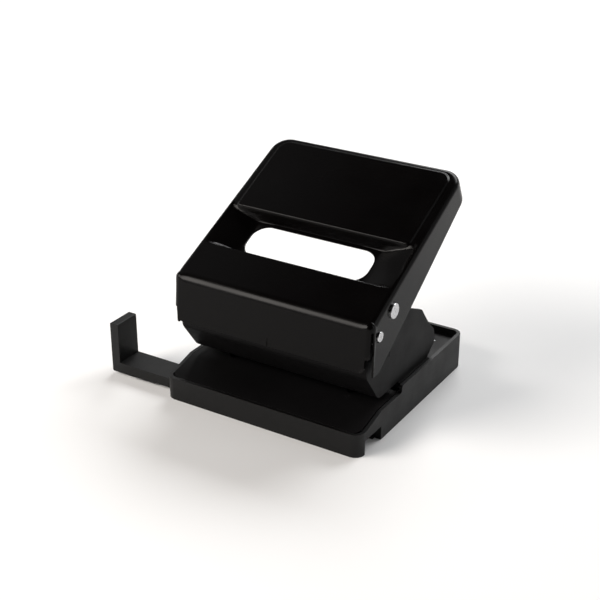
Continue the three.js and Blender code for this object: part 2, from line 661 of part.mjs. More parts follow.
function punchPin(side) {
  const neck = PIN_TOP - PIN_HEAD_HEIGHT;
  const grooveTop = CLIP_TOP + SEAT_GAP;
  const grooveBottom = CLIP_TOP - CLIP_THICKNESS - SEAT_GAP;
  const groove = PIN_RADIUS - GROOVE_DEPTH;
  const body = turned([
    [0, PIN_TIP],
    [PIN_RADIUS, PIN_TIP],
    [PIN_RADIUS, grooveBottom],
    [groove, grooveBottom],
    [groove, grooveTop],
    [PIN_RADIUS, grooveTop],
    [PIN_RADIUS, neck],
    [PIN_HEAD_RADIUS, neck],
    [PIN_HEAD_RADIUS, PIN_TOP - 0.5],
    [PIN_HEAD_RADIUS - 0.5, PIN_TOP],
    [0, PIN_TOP],
  ], [side * PIN_X, PIN_Y]);
  const notch = outline([
    [PIN_Y - PIN_RADIUS, PIN_TIP - 0.01],
    [PIN_Y, PIN_TIP + PIN_TIP_NOTCH],
    [PIN_Y + PIN_RADIUS, PIN_TIP - 0.01],
  ]);
  return cut(body, prismX(notch, spanOn(side, PIN_X - 2 * PIN_RADIUS, PIN_X + 2 * PIN_RADIUS)));
}

function pinClip(side) {
  const bore = PIN_RADIUS - GROOVE_DEPTH / 2 + 0.05;
  const span = [CLIP_TOP - CLIP_THICKNESS, CLIP_TOP];
  const at = [side * PIN_X, PIN_Y];
  const mouth = block(
    spanOn(side, PIN_X - bore * 0.8, PIN_X + bore * 0.8),
    [PIN_Y, PIN_Y + 2 * CLIP_RADIUS],
    [span[0] - 1, span[1] + 1],
  );
  return cut(rodZ(CLIP_RADIUS, at, span), rodZ(bore, at, [span[0] - 1, span[1] + 1]), mouth);
}

class Helix extends THREE.Curve {
  constructor(centre, radius, bottom, top, turns) {
    super();
    Object.assign(this, { centre, radius, bottom, top, turns });
  }

  getPoint(t, target = new THREE.Vector3()) {
    const angle = 2 * Math.PI * this.turns * t;
    return target.set(
      this.centre[0] + this.radius * Math.cos(angle),
      this.centre[1] + this.radius * Math.sin(angle),
      this.bottom + (this.top - this.bottom) * t,
    );
  }
}

function pinSpring(side) {
  const radius = PIN_RADIUS + SPRING_WIRE + 0.6;
  const path = new Helix(
    [side * PIN_X, PIN_Y], radius, SPRING_BOTTOM + SPRING_WIRE, SPRING_TOP - SPRING_WIRE, SPRING_TURNS,
  );
  const geometry = new THREE.ExtrudeGeometry(circle(SPRING_WIRE), {
    steps: SPRING_TURNS * 14, extrudePath: path, curveSegments: 3,
  });
  return solid(geometry);
}

// ---------------------------------------------------------------------------------------------
// Axles and washers
// ---------------------------------------------------------------------------------------------

// Half width of the lever at a distance up its plate.
function leverHalfAt(distance) {
  return LEVER_HALF - LEVER_TAPER * distance / LEVER_LENGTH;
}

function axle(radius, centre) {
  const end = LEVER_HALF + AXLE_STICK_OUT;
  const chamfer = 0.5;
  const profile = [
    [0, -end], [radius - chamfer, -end], [radius, -end + chamfer],
    [radius, end - chamfer], [radius - chamfer, end], [0, end],
  ];
  const points = profile.map(([r, along]) => new THREE.Vector2(r, along));
  const geometry = new THREE.LatheGeometry(points, ROUND);
  return solid(geometry.rotateZ(-Math.PI / 2).translate(0, ...centre));
}

function pivotWasher(side) {
  const inner = CHEEK_X + SEAT_GAP;
  const outer = leverHalfAt(10) - LEVER_SHEET - SEAT_GAP;
  const span = spanOn(side, inner, outer);
  return cut(
    rodX(BOSS_RADIUS - 0.8, PIVOT, span),
    rodX(PIVOT_RADIUS + SEAT_GAP, PIVOT, [span[0] - 1, span[1] + 1]),
  );
}

// ---------------------------------------------------------------------------------------------
// Lever: pressed from one sheet. It is laid out on its plate, where x is across, u is the
// distance up the slope from the bend, and w is the height above the plate's upper face.
// ---------------------------------------------------------------------------------------------

const SLOPE = THREE.MathUtils.degToRad(LEVER_SLOPE);
const UP_PLATE = new THREE.Vector2(Math.cos(SLOPE), Math.sin(SLOPE));
const OFF_PLATE = new THREE.Vector2(-Math.sin(SLOPE), Math.cos(SLOPE));
const ON_PLATE = new THREE.Matrix4().makeBasis(
  new THREE.Vector3(1, 0, 0),
  new THREE.Vector3(0, UP_PLATE.x, UP_PLATE.y),
  new THREE.Vector3(0, OFF_PLATE.x, OFF_PLATE.y),
).setPosition(0, ...BEND);

// The (y, z) point at u up the plate and w above it.
function platePoint(u, w) {
  return [
    BEND[0] + u * UP_PLATE.x + w * OFF_PLATE.x,
    BEND[1] + u * UP_PLATE.y + w * OFF_PLATE.y,
  ];
}

// A prism square to the plate between two heights w, with a rounded upper edge.
function offPlate(shape, [w0, w1], edge = 0) {
  const options = edge > 0
    ? { bevelEnabled: true, bevelThickness: edge, bevelSize: edge, bevelOffset: -edge, bevelSegments: 3 }
    : {};
  const shift = new THREE.Matrix4().makeTranslation(0, 0, w0 + edge);
  return extrude(shape, w1 - w0 - 2 * edge, ON_PLATE.clone().multiply(shift), options);
}

// The lower edge of a side flange runs straight from its tip; this is its point at u.
function alongFlange(u) {
  const tip = [FRONT + FLANGE_TIP_BACK, FLANGE_TIP_HEIGHT];
  const top = platePoint(LEVER_LENGTH, -FLANGE_DEPTH);
  const tipU = (tip[0] - BEND[0]) * UP_PLATE.x + (tip[1] - BEND[1]) * UP_PLATE.y;
  const share = (u - tipU) / (LEVER_LENGTH - tipU);
  return [tip[0] + (top[0] - tip[0]) * share, tip[1] + (top[1] - tip[1]) * share];
}

// The lever's block before it is hollowed, inset by a given amount on every outer face.
function leverBlock(inset, floor) {
  const ahead = -30;
  const plan = outline([
    [-leverHalfAt(ahead) + inset, ahead],
    [leverHalfAt(ahead) - inset, ahead],
    [leverHalfAt(LEVER_LENGTH) - inset, LEVER_LENGTH - inset, LEVER_CORNER - inset],
    [-leverHalfAt(LEVER_LENGTH) + inset, LEVER_LENGTH - inset, LEVER_CORNER - inset],
  ]);
  const skirtLength = Math.hypot(SKIRT_LEAN, SKIRT_DROP);
  const down = new THREE.Vector2(-SKIRT_LEAN, -SKIRT_DROP).divideScalar(skirtLength);
  const inward = new THREE.Vector2(-down.y, down.x);
  const bendShift = inset * (1 + OFF_PLATE.dot(inward)) / UP_PLATE.dot(inward);
  const bend = platePoint(bendShift, -inset);
  const reach = (bend[1] - floor) / -down.y;
  const foot = [bend[0] + down.x * reach, floor];
  const beyond = LEVER_LENGTH + 20;
  const lower = inset > 0
    ? [[platePoint(beyond, 0)[0], floor]]
    : [
      [FRONT + FLANGE_TIP_BACK, floor, FLANGE_TIP_RADIUS],
      alongFlange(beyond),
    ];
  const profile = outline([
    [...bend, BEND_RADIUS - inset],
    foot,
    ...lower,
    platePoint(beyond, -inset),
  ]);
  return offPlate(plan, [-80, -inset], EDGE_RADIUS - inset)
    .intersect(prismX(profile, [-2 * HALF, 2 * HALF]));
}

// The trough across the plate, grown by a given amount; its ends slope down to the window.
function channelTool(grow) {
  const endRun = CHANNEL_HALF - WINDOW_HALF - 1.5;
  const endGrow = grow * Math.hypot(endRun, CHANNEL_DEPTH) / CHANNEL_DEPTH;
  const highRun = CHANNEL_HIGH - WINDOW_HIGH - 0.3;
  const lowRun = 1;
  const levels = [1, -CHANNEL_DEPTH - grow];
  const points = levels.flatMap((w) => {
    const share = -w / CHANNEL_DEPTH;
    const half = CHANNEL_HALF + endGrow - endRun * share;
    const low = CHANNEL_LOW - grow + lowRun * share;
    const high = CHANNEL_HIGH + grow * 1.3 - highRun * share;
    return [[-half, low], [half, low], [half, high], [-half, high]]
      .map(([x, u]) => new THREE.Vector3(x, u, w));
  });
  return solid(new ConvexGeometry(points).applyMatrix4(ON_PLATE));
}

function leverPad(inset, [w0, w1], edge) {
  const shape = roundedRectangle(
    [-PAD_HALF + inset, PAD_HALF - inset], [PAD_LOW + inset, PAD_HIGH - inset], PAD_CORNER - inset,
  );
  return offPlate(shape, [w0, w1], edge);
}

function leverShell() {
  const outside = join(
    cut(leverBlock(0, FLANGE_TIP_HEIGHT), channelTool(0)),
    leverPad(0, [-LEVER_SHEET, PAD_RISE], 0.5),
  );
  const inside = join(
    cut(leverBlock(LEVER_SHEET, FLANGE_TIP_HEIGHT - 10), channelTool(LEVER_SHEET)),
    leverPad(LEVER_SHEET, [-2 * LEVER_SHEET, PAD_RISE - LEVER_SHEET], 0),
  );
  const window = offPlate(
    roundedRectangle([-WINDOW_HALF, WINDOW_HALF], [WINDOW_LOW, WINDOW_HIGH], WINDOW_CORNER),
    [-CHANNEL_DEPTH - 4, 3],
  );
  const skirtHalf = LEVER_HALF - SKIRT_INSET;
  const skirtFoot = BEND_HEIGHT - SKIRT_DROP;
  const outsideX = HALF + 10;
  const belowZ = FLANGE_TIP_HEIGHT - 5;
  const skirtCut = outline([
    [-outsideX, SKIRT_SHOULDER],
    [-skirtHalf, SKIRT_SHOULDER, 1],
    [-skirtHalf, skirtFoot, SKIRT_CORNER],
    [skirtHalf, skirtFoot, SKIRT_CORNER],
    [skirtHalf, SKIRT_SHOULDER, 1],
    [outsideX, SKIRT_SHOULDER],
    [outsideX, belowZ],
    [-outsideX, belowZ],
  ]);
  const skirtY = BEND[0] - SKIRT_LEAN;
  const across = [-2 * HALF, 2 * HALF];
  return cut(
    outside,
    inside,
    window,
    prismY(skirtCut, [skirtY - 10, skirtY + FLANGE_FRONT]),
    rodX(PIVOT_RADIUS + RUN_GAP, PIVOT, across),
    rodX(DRIVE_RADIUS + SEAT_GAP, DRIVE, across),
  );
}

// ---------------------------------------------------------------------------------------------
// Paper guide and its detent spring
// ---------------------------------------------------------------------------------------------

const DETENT_POCKET = 26;
const DETENT_SHEET = 0.4;
const DETENT_STRIP = 4.4;

function paperGuide() {
  const side = outline([
    [FENCE_X[0], GUIDE_THICK_BOTTOM, FENCE_CHAMFER],
    [FENCE_X[1] + GUIDE_SHOULDER, GUIDE_THICK_BOTTOM],
    [FENCE_X[1] + GUIDE_SHOULDER, GUIDE_THIN_BOTTOM],
    [GUIDE_TAIL_X, GUIDE_THIN_BOTTOM],
    [GUIDE_TAIL_X, GUIDE_TOP],
    [FENCE_X[1], GUIDE_TOP],
    [FENCE_X[1], FENCE_HEIGHT, 0.6],
    [FENCE_X[0], FENCE_HEIGHT, 0.6],
  ]);
  const grooves = DETENT_SHIFTS.map((shift) => rodZ(
    DETENT_RADIUS, [shift, GUIDE_Y[1] + DETENT_RADIUS * 0.3], [0, GUIDE_TOP + 1],
  ));
  return cut(prismY(side, GUIDE_Y), ...grooves);
}

// A bowed leaf in a pocket of the cross wall; its crest faces a groove of the guide bar.
function detentSpring() {
  const half = DETENT_POCKET / 2 - SEAT_GAP;
  const back = CROSS_WALL_Y[1] - 0.7 - SEAT_GAP - DETENT_SHEET;
  const crest = GUIDE_Y[1] + 0.15;
  const line = [
    [-half, back], [-half * 0.6, back], [-half * 0.2, crest + DETENT_SHEET / 2], [0, crest],
    [half * 0.2, crest + DETENT_SHEET / 2], [half * 0.6, back], [half, back],
  ];
  const middle = (GUIDE_THIN_BOTTOM + TUNNEL_TOP) / 2;
  return prismZ(
    bentSheet(line, DETENT_SHEET), [middle - DETENT_STRIP / 2, middle + DETENT_STRIP / 2],
  );
}

// ---------------------------------------------------------------------------------------------
// Fasteners
// ---------------------------------------------------------------------------------------------

function baseScrew(at) {
  const headTop = SCREW_BOSS_BOTTOM - SEAT_GAP;
  const headBottom = headTop - SCREW_HEAD_HEIGHT;
  const body = turned([
    [0, headBottom],
    [SCREW_HEAD_RADIUS - 0.8, headBottom],
    [SCREW_HEAD_RADIUS, headBottom + 0.8],
    [SCREW_HEAD_RADIUS, headTop],
    [SCREW_RADIUS, headTop],
    [SCREW_RADIUS, DECK_TOP - SEAT_GAP],
    [0, DECK_TOP - SEAT_GAP],
  ], at);
  const slots = [[2, 0.35], [0.35, 2]].map(([a, b]) => block(
    [at[0] - a, at[0] + a], [at[1] - b, at[1] + b], [headBottom - 1, headBottom + 0.9],
  ));
  return cut(body, ...slots);
}

// A rivet through the deck and what stands on it, with a domed head above and a set head below.
function rivet(at, seat) {
  const head = seat + SEAT_GAP;
  const tail = DECK_BOTTOM - SEAT_GAP;
  return turned([
    [0, tail - RIVET_HEAD_HEIGHT],
    [RIVET_HEAD_RADIUS - 0.5, tail - RIVET_HEAD_HEIGHT],
    [RIVET_HEAD_RADIUS, tail - RIVET_HEAD_HEIGHT / 2],
    [RIVET_HEAD_RADIUS, tail],
    [RIVET_RADIUS, tail],
    [RIVET_RADIUS, head],
    [RIVET_HEAD_RADIUS, head],
    [RIVET_HEAD_RADIUS - 0.4, head + RIVET_HEAD_HEIGHT * 0.7],
    [RIVET_HEAD_RADIUS - 1.4, head + RIVET_HEAD_HEIGHT],
    [0, head + RIVET_HEAD_HEIGHT],
  ], at);
}

// ---------------------------------------------------------------------------------------------
// The assembly
// ---------------------------------------------------------------------------------------------

const SIDE_NAMES = ['left', 'right'];

addMesh('base_shell', baseShell(), blackPlastic);
addMesh('chip_cover', chipCover(), blackPlastic);
addMesh('base_plate', deckPlate(), satinBlack);
addMesh('punch_frame', punchFrame(), satinBlack);
addMesh('guide_bridge', guideBridge(), satinBlack);
addMesh('paper_stop', paperStop(), satinBlack);
addMesh('pivot_axle', axle(PIVOT_RADIUS, PIVOT), bareSteel);
addMesh('drive_axle', axle(DRIVE_RADIUS, DRIVE), bareSteel);
addMesh('lever', leverShell(), glossBlack);
addMesh('paper_guide', paperGuide(), blackPlastic);
addMesh('guide_detent_spring', detentSpring(), springSteel);

bothSides((side) => side).forEach((side, i) => {
  addMesh(`punch_pin_${SIDE_NAMES[i]}`, punchPin(side), bareSteel);
  addMesh(`pin_clip_${SIDE_NAMES[i]}`, pinClip(side), springSteel);
  addMesh(`pin_spring_${SIDE_NAMES[i]}`, pinSpring(side), springSteel);
  addMesh(`pivot_washer_${SIDE_NAMES[i]}`, pivotWasher(side), bareSteel);
});

SCREWS.forEach((at, i) => addMesh(`base_screw_${i + 1}`, baseScrew(at), bareSteel));
FRAME_RIVETS.forEach((at, i) => {
  addMesh(`frame_rivet_${i + 1}`, rivet(at, FOOT_BOTTOM + FOOT_HEIGHT), bareSteel);
});
STOP_RIVETS.forEach((at, i) => {
  addMesh(`stop_rivet_${SIDE_NAMES[i]}`, rivet(at, FOOT_BOTTOM + STOP_SHEET), bareSteel);
});

export default part;
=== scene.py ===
"""Two-hole paper punch: the finished surfaces of a pressed lever, folded frame and moulded base."""

import math

import bmesh
import bpy
from bpy.props import FloatProperty, FloatVectorProperty, IntProperty, PointerProperty
from mathutils import Matrix, Vector
from mathutils.geometry import delaunay_2d_cdt
from mathutils.kdtree import KDTree


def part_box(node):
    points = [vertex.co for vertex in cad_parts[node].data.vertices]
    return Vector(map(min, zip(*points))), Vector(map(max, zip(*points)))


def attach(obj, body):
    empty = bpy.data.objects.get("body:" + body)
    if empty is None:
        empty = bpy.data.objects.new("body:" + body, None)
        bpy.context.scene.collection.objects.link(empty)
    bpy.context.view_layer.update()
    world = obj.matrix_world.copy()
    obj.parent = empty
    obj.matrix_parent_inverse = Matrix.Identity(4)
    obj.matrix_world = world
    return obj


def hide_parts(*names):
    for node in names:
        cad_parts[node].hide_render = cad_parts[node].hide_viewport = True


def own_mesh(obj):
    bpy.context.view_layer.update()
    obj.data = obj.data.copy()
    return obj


bl_info = {
    "name": "Two-hole paper punch",
    "version": (1, 0, 0),
    "blender": (4, 5, 0),
    "location": "3D View > Sidebar > Punch",
    "description": "Builds a two-hole paper punch around its solid frame",
    "category": "Add Mesh",
}

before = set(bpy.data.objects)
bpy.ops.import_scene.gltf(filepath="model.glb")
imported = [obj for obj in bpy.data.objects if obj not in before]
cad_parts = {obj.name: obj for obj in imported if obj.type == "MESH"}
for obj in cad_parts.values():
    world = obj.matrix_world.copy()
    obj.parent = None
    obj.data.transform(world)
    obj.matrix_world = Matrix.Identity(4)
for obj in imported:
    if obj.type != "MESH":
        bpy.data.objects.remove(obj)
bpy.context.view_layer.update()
MM = 0.001
SIDES = ("left", "right")


# ---------------------------------------------------------------------------
# Sizes and finishes
# ---------------------------------------------------------------------------


def length(name, description, millimetres):
    """A size shown in the scene's length unit."""
    return FloatProperty(
        name=name, description=description, default=millimetres * MM, unit="LENGTH", precision=5
    )


def angle(name, description, degrees):
    return FloatProperty(
        name=name, description=description, default=math.radians(degrees), subtype="ANGLE"
    )


def colour(name, description, value):
    return FloatVectorProperty(
        name=name, description=description, default=value, subtype="COLOR", size=3, min=0, max=1
    )


def factor(name, description, value):
    return FloatProperty(
        name=name, description=description, default=value, subtype="FACTOR", min=0, max=1
    )


class LeverSizes(bpy.types.PropertyGroup):
    """Sizes of the pressed lever, laid out on its plate from the bend upwards."""

    sheet: length("Sheet", "Thickness of the steel", 1.2)
    plate_length: length("Plate length", "Bend to the upper edge", 122.5)
    slope: angle("Slope", "Plate above the horizontal at rest", 25.6)
    bend_y: length("Bend position", "Bend line, front to back", -52.6)
    bend_z: length("Bend height", "Bend line above the desk", 74.95)
    half_width: length("Half width", "Centre line to the side at the bend", 65.2)
    taper: length("Taper", "How far each side comes in at the top", 1.9)
    bend_radius: length("Bend radius", "Outer radius between plate and skirt", 7)
    edge_radius: length("Edge radius", "Outer radius between plate and flanges", 3.2)
    corner_radius: length("Corner radius", "Upper corners in plan", 11.5)
    skirt_drop: length("Skirt drop", "Bend line to the foot of the skirt", 27.25)
    skirt_lean: length("Skirt lean", "How far the foot stands forward of the bend", 2.65)
    skirt_half: length("Skirt half width", "Lower part of the skirt", 61.6)
    skirt_shoulder: length("Skirt shoulder", "Height where the skirt narrows", 56)
    slit_half: length("Slit", "Centre line to the slit between skirt and flange", 64)
    slit_top: length("Slit top", "Height of the slit's closed end", 71.6)
    mark_width: length("Mark width", "Centre mark in the foot of the skirt", 0.5)
    mark_height: length("Mark height", "Foot of the skirt to the top of the mark", 5.2)
    mark_depth: length("Mark depth", "Depth of the centre mark at the foot", 0.6)
    flange_front: length("Flange front", "Foot of the skirt to the flange's front edge", 4.6)
    flange_tip_y: length("Flange tip position", "Back of the flange tip", -44.05)
    flange_tip_z: length("Flange tip height", "Lowest point of the flange", 44.15)
    flange_depth: length("Flange depth", "At the top of the plate", 14.5)
    channel_low: length("Channel front", "Bend to the front of the channel", 28.6)
    channel_high: length("Channel back", "Bend to the back of the channel", 59.4)
    channel_half: length("Channel half length", "Centre line to the channel's end", 58.2)
    channel_depth: length("Channel depth", "Below the plate", 6)
    window_low: length("Window front", "Bend to the front of the window", 31)
    window_high: length("Window back", "Bend to the back of the window", 55.2)
    window_half: length("Window half length", "Centre line to the window's end", 40.6)
    window_radius: length("Window radius", "Corners of the window", 9.7)
    pad_low: length("Pad front", "Bend to the front of the raised pad", 59.4)
    pad_high: length("Pad back", "Bend to the back of the raised pad", 118)
    pad_half: length("Pad half width", "Centre line to the side of the pad", 57.5)
    pad_radius: length("Pad radius", "Upper corners of the pad", 7)
    pad_lower_radius: length("Pad lower radius", "Corners of the pad beside the channel", 3.2)
    pad_edge: length("Pad edge", "Width of the step round the pad", 1.7)
    front_corner: length("Front corner", "Vertical corners beside the skirt", 4)
    channel_front_run: length("Channel front run", "Width of the channel's front wall", 2.2)
    channel_back_run: length("Channel back run", "Width of the channel's back wall", 2)
    pad_rise: length("Pad rise", "Height of the pad over the plate", 1)


class PieceSizes(bpy.types.PropertyGroup):
    """Edge roundings and small features of the other pieces."""

    shell_round: length("Shell edge", "Rounding of the moulded base", 0.7)
    deck_round: length("Deck edge", "Rounding of the deck's edge", 0.45)
    frame_round: length("Frame edge", "Rounding of the frame's cut edges", 0.35)
    chin_top: length("Chin top", "Height where the frame's front wall leans back", 43)
    chin_radius: length("Chin radius", "Bend at the top of the leaning wall", 9)
    jaw_front: length("Jaw front", "Front edge of the jaw, front to back", -37)
    jaw_bottom: length("Jaw bottom", "Underside of the jaw over the desk", 23.4)
    jaw_radius: length("Jaw radius", "Bend at the foot of the leaning wall", 6)
    guide_round: length("Guide edge", "Rounding of the paper guide and chip cover", 0.4)
    small_round: length("Small edge", "Rounding of the upper pin guide and paper stop", 0.2)
    axle_chamfer: length("Axle chamfer", "Broken edge of each axle end", 0.45)
    axle_dimple: length("Axle dimple", "Centre mark in each axle end", 0.7)
    spring_turns: IntProperty(
        name="Spring turns", description="Turns of each pin spring", default=6, min=3, max=12
    )
    spring_wire: length("Spring wire", "Radius of the spring wire", 0.5)
    pin_travel: length("Pin travel", "Travel of a pin, taken up by its spring", 7.8)


class Finishes(bpy.types.PropertyGroup):
    """Colours and gloss of the visible materials."""

    enamel: colour("Enamel", "Stoved paint on the lever", (0.0011, 0.0008, 0.0008))
    enamel_gloss: factor("Enamel roughness", "Roughness of the lever's paint", 0.24)
    satin: colour("Satin paint", "Paint on the deck and frame", (0.0036, 0.0034, 0.0036))
    satin_gloss: factor("Satin roughness", "Roughness of the deck and frame", 0.46)
    plastic: colour("Plastic", "Moulded base and paper guide", (0.0014, 0.0013, 0.0013))
    plastic_gloss: factor("Plastic roughness", "Roughness of the mouldings", 0.5)
    steel: colour("Bare steel", "Axles, pins and rivets", (0.62, 0.62, 0.63))
    zinc: colour("Zinc plate", "Screws, washers and clips", (0.55, 0.56, 0.58))


class StageSizes(bpy.types.PropertyGroup):
    """Camera and floor."""

    camera_at: FloatVectorProperty(
        name="Camera position", description="Where the camera stands", subtype="TRANSLATION",
        default=(0.35115, -0.58757, 0.38506), unit="LENGTH", size=3,
    )
    camera_azimuth: angle("Camera azimuth", "Turned right from the front", 31.746)
    camera_elevation: angle("Camera elevation", "Above the horizontal", 25.839)
    lens: FloatProperty(
        name="Focal length", description="Camera focal length", default=77.52, subtype="DISTANCE_CAMERA"
    )
    floor_half: length("Floor", "Half the width of the floor", 6000)
    floor_colour: colour("Floor colour", "Pale floor", (0.93, 0.93, 0.93))


# ---------------------------------------------------------------------------
# Mesh making, in millimetres
# ---------------------------------------------------------------------------


def millimetres(group):
    """The group's lengths as millimetres and its angles and counts as they are."""
    values = {}
    for name in group.__annotations__:
        value = getattr(group, name)
        kind = group.bl_rna.properties[name]
        values[name] = value / MM if kind.unit == "LENGTH" else value
    return type("Values", (), values)


def rounded(corners, steps=10):
    """Points of a closed outline through corners (a, b, radius); the radius is optional."""
    points = []
    count = len(corners)
    for i, corner in enumerate(corners):
        here = Vector(corner[:2])
        radius = corner[2] if len(corner) > 2 else 0
        if radius == 0:
            points.append(tuple(here))
            continue
        before = (Vector(corners[i - 1][:2]) - here).normalized()
        after = (Vector(corners[(i + 1) % count][:2]) - here).normalized()
        half = before.angle(after) / 2
        centre = here + (before + after).normalized() * (radius / math.sin(half))
        start = here + before * (radius / math.tan(half)) - centre
        end = here + after * (radius / math.tan(half)) - centre
        turn = start.angle_signed(end)
        for step in range(steps + 1):
            swing = Matrix.Rotation(-turn * step / steps, 2)
            points.append(tuple(centre + swing @ start))
    return points


def rectangle(a_span, b_span, radius, steps=10):
    (a0, a1), (b0, b1) = a_span, b_span
    corners = [(a0, b0, radius), (a1, b0, radius), (a1, b1, radius), (a0, b1, radius)]
    return rounded(corners, steps)


def circle(a, b, radius, steps=48):
    turns = [math.tau * k / steps for k in range(steps)]
    return [(a + radius * math.cos(turn), b + radius * math.sin(turn)) for turn in turns]


def new_object(name, mesh_maker):
    """A linked object whose mesh is filled by a function of a bmesh."""
    mesh = bpy.data.meshes.new(name)
    work = bmesh.new()
    mesh_maker(work)
    bmesh.ops.recalc_face_normals(work, faces=work.faces)
    work.to_mesh(mesh)
    work.free()
    made = bpy.data.objects.new(name, mesh)
    bpy.context.scene.collection.objects.link(made)
    return made


def prism(outline, span, place):
    """A cutting tool over an outline; place(a, b, t) gives the point at (a, b) on the level t."""

    def fill(work):
        rings = [[work.verts.new(place(a, b, t)) for a, b in outline] for t in span]
        work.faces.new(rings[0][::-1])
        work.faces.new(rings[1])
        count = len(outline)
        for i in range(count):
            j = (i + 1) % count
            work.faces.new([rings[0][i], rings[0][j], rings[1][j], rings[1][i]])

    return new_object("tool", fill)


def along_x(a, b, t):
    return (t, a, b)


def along_y(a, b, t):
    return (a, t, b)


def lathed(name, profile, segments=64):
    """A piece turned about X from (along, radius) points; it starts and ends on the axis."""

    def fill(work):
        rings = []
        for along, radius in profile:
            if radius == 0:
                rings.append([work.verts.new((along, 0, 0))])
                continue
            rings.append([
                work.verts.new((
                    along,
                    radius * math.cos(2 * math.pi * k / segments),
                    radius * math.sin(2 * math.pi * k / segments),
                ))
                for k in range(segments)
            ])
        for near, far in zip(rings, rings[1:]):
            for k in range(segments):
                j = (k + 1) % segments
                loop = [near[k % len(near)], near[j % len(near)], far[j % len(far)], far[k % len(far)]]
                work.faces.new(list(dict.fromkeys(loop)))

    return new_object(name, fill)


def bake(piece):
    """Applies every modifier of a piece."""
    bpy.context.view_layer.update()
    graph = bpy.context.evaluated_depsgraph_get()
    mesh = bpy.data.meshes.new_from_object(piece.evaluated_get(graph), depsgraph=graph)
    piece.modifiers.clear()
    old = piece.data
    piece.data = mesh
    bpy.data.meshes.remove(old)


def cut(piece, *tools):
    """Takes tools out of a piece, and removes them."""
    for tool in tools:
        step = piece.modifiers.new("solid", "BOOLEAN")
        step.operation = "DIFFERENCE"
        step.solver = "EXACT"
        step.object = tool
    bake(piece)
    for tool in tools:
        bpy.data.objects.remove(tool)


def join_facets(piece):
    """Merges doubled points and joins faces that lie in one plane."""
    doubled, flat = 0.004, math.radians(0.4)
    work = bmesh.new()
    work.from_mesh(piece.data)
    bmesh.ops.remove_doubles(work, verts=work.verts, dist=doubled)
    bmesh.ops.dissolve_degenerate(work, edges=work.edges, dist=doubled)
    bmesh.ops.dissolve_limit(work, angle_limit=flat, verts=work.verts, edges=work.edges)
    work.to_mesh(piece.data)
    work.free()


def round_edges(piece, width, segments=3, sharper_than=28):
    step = piece.modifiers.new("edge", "BEVEL")
    step.width = width
    step.segments = segments
    step.limit_method = "ANGLE"
    step.angle_limit = math.radians(sharper_than)
    step.miter_outer = "MITER_ARC"
    bake(piece)


def smooth(piece, sharp_angle=40):
    """Smooth shading that keeps flat faces flat and hard edges hard."""
    for face in piece.data.polygons:
        face.use_smooth = True
    piece.data.set_sharp_from_angle(angle=math.radians(sharp_angle))
    step = piece.modifiers.new("normals", "WEIGHTED_NORMAL")
    step.keep_sharp = True
    step.weight = 80
    bake(piece)


def deliver(piece, name, body, material, nodes):
    """Scales a piece from millimetres, gives it its finish and hangs it on its body."""
    piece.name = name
    piece.data.name = name
    piece.data.transform(Matrix.Scale(MM, 4))
    piece.data.materials.clear()
    piece.data.materials.append(material)
    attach(piece, body)
    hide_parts(*nodes)


def from_node(node):
    """A working copy of a CAD node's mesh, in millimetres and with its facets joined up."""
    piece = bpy.data.objects.new(node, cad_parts[node].data.copy())
    bpy.context.scene.collection.objects.link(piece)
    piece.data.transform(Matrix.Scale(1 / MM, 4))
    for layer in list(piece.data.attributes):
        if layer.name == "custom_normal":
            piece.data.attributes.remove(layer)
    join_facets(piece)
    return piece


def finished(node, name, body, material, edge):
    """A CAD node remade with rounded edges."""
    piece = from_node(node)
    round_edges(piece, edge)
    smooth(piece)
    deliver(piece, name, body, material, [node])


# ---------------------------------------------------------------------------
# Materials
# ---------------------------------------------------------------------------


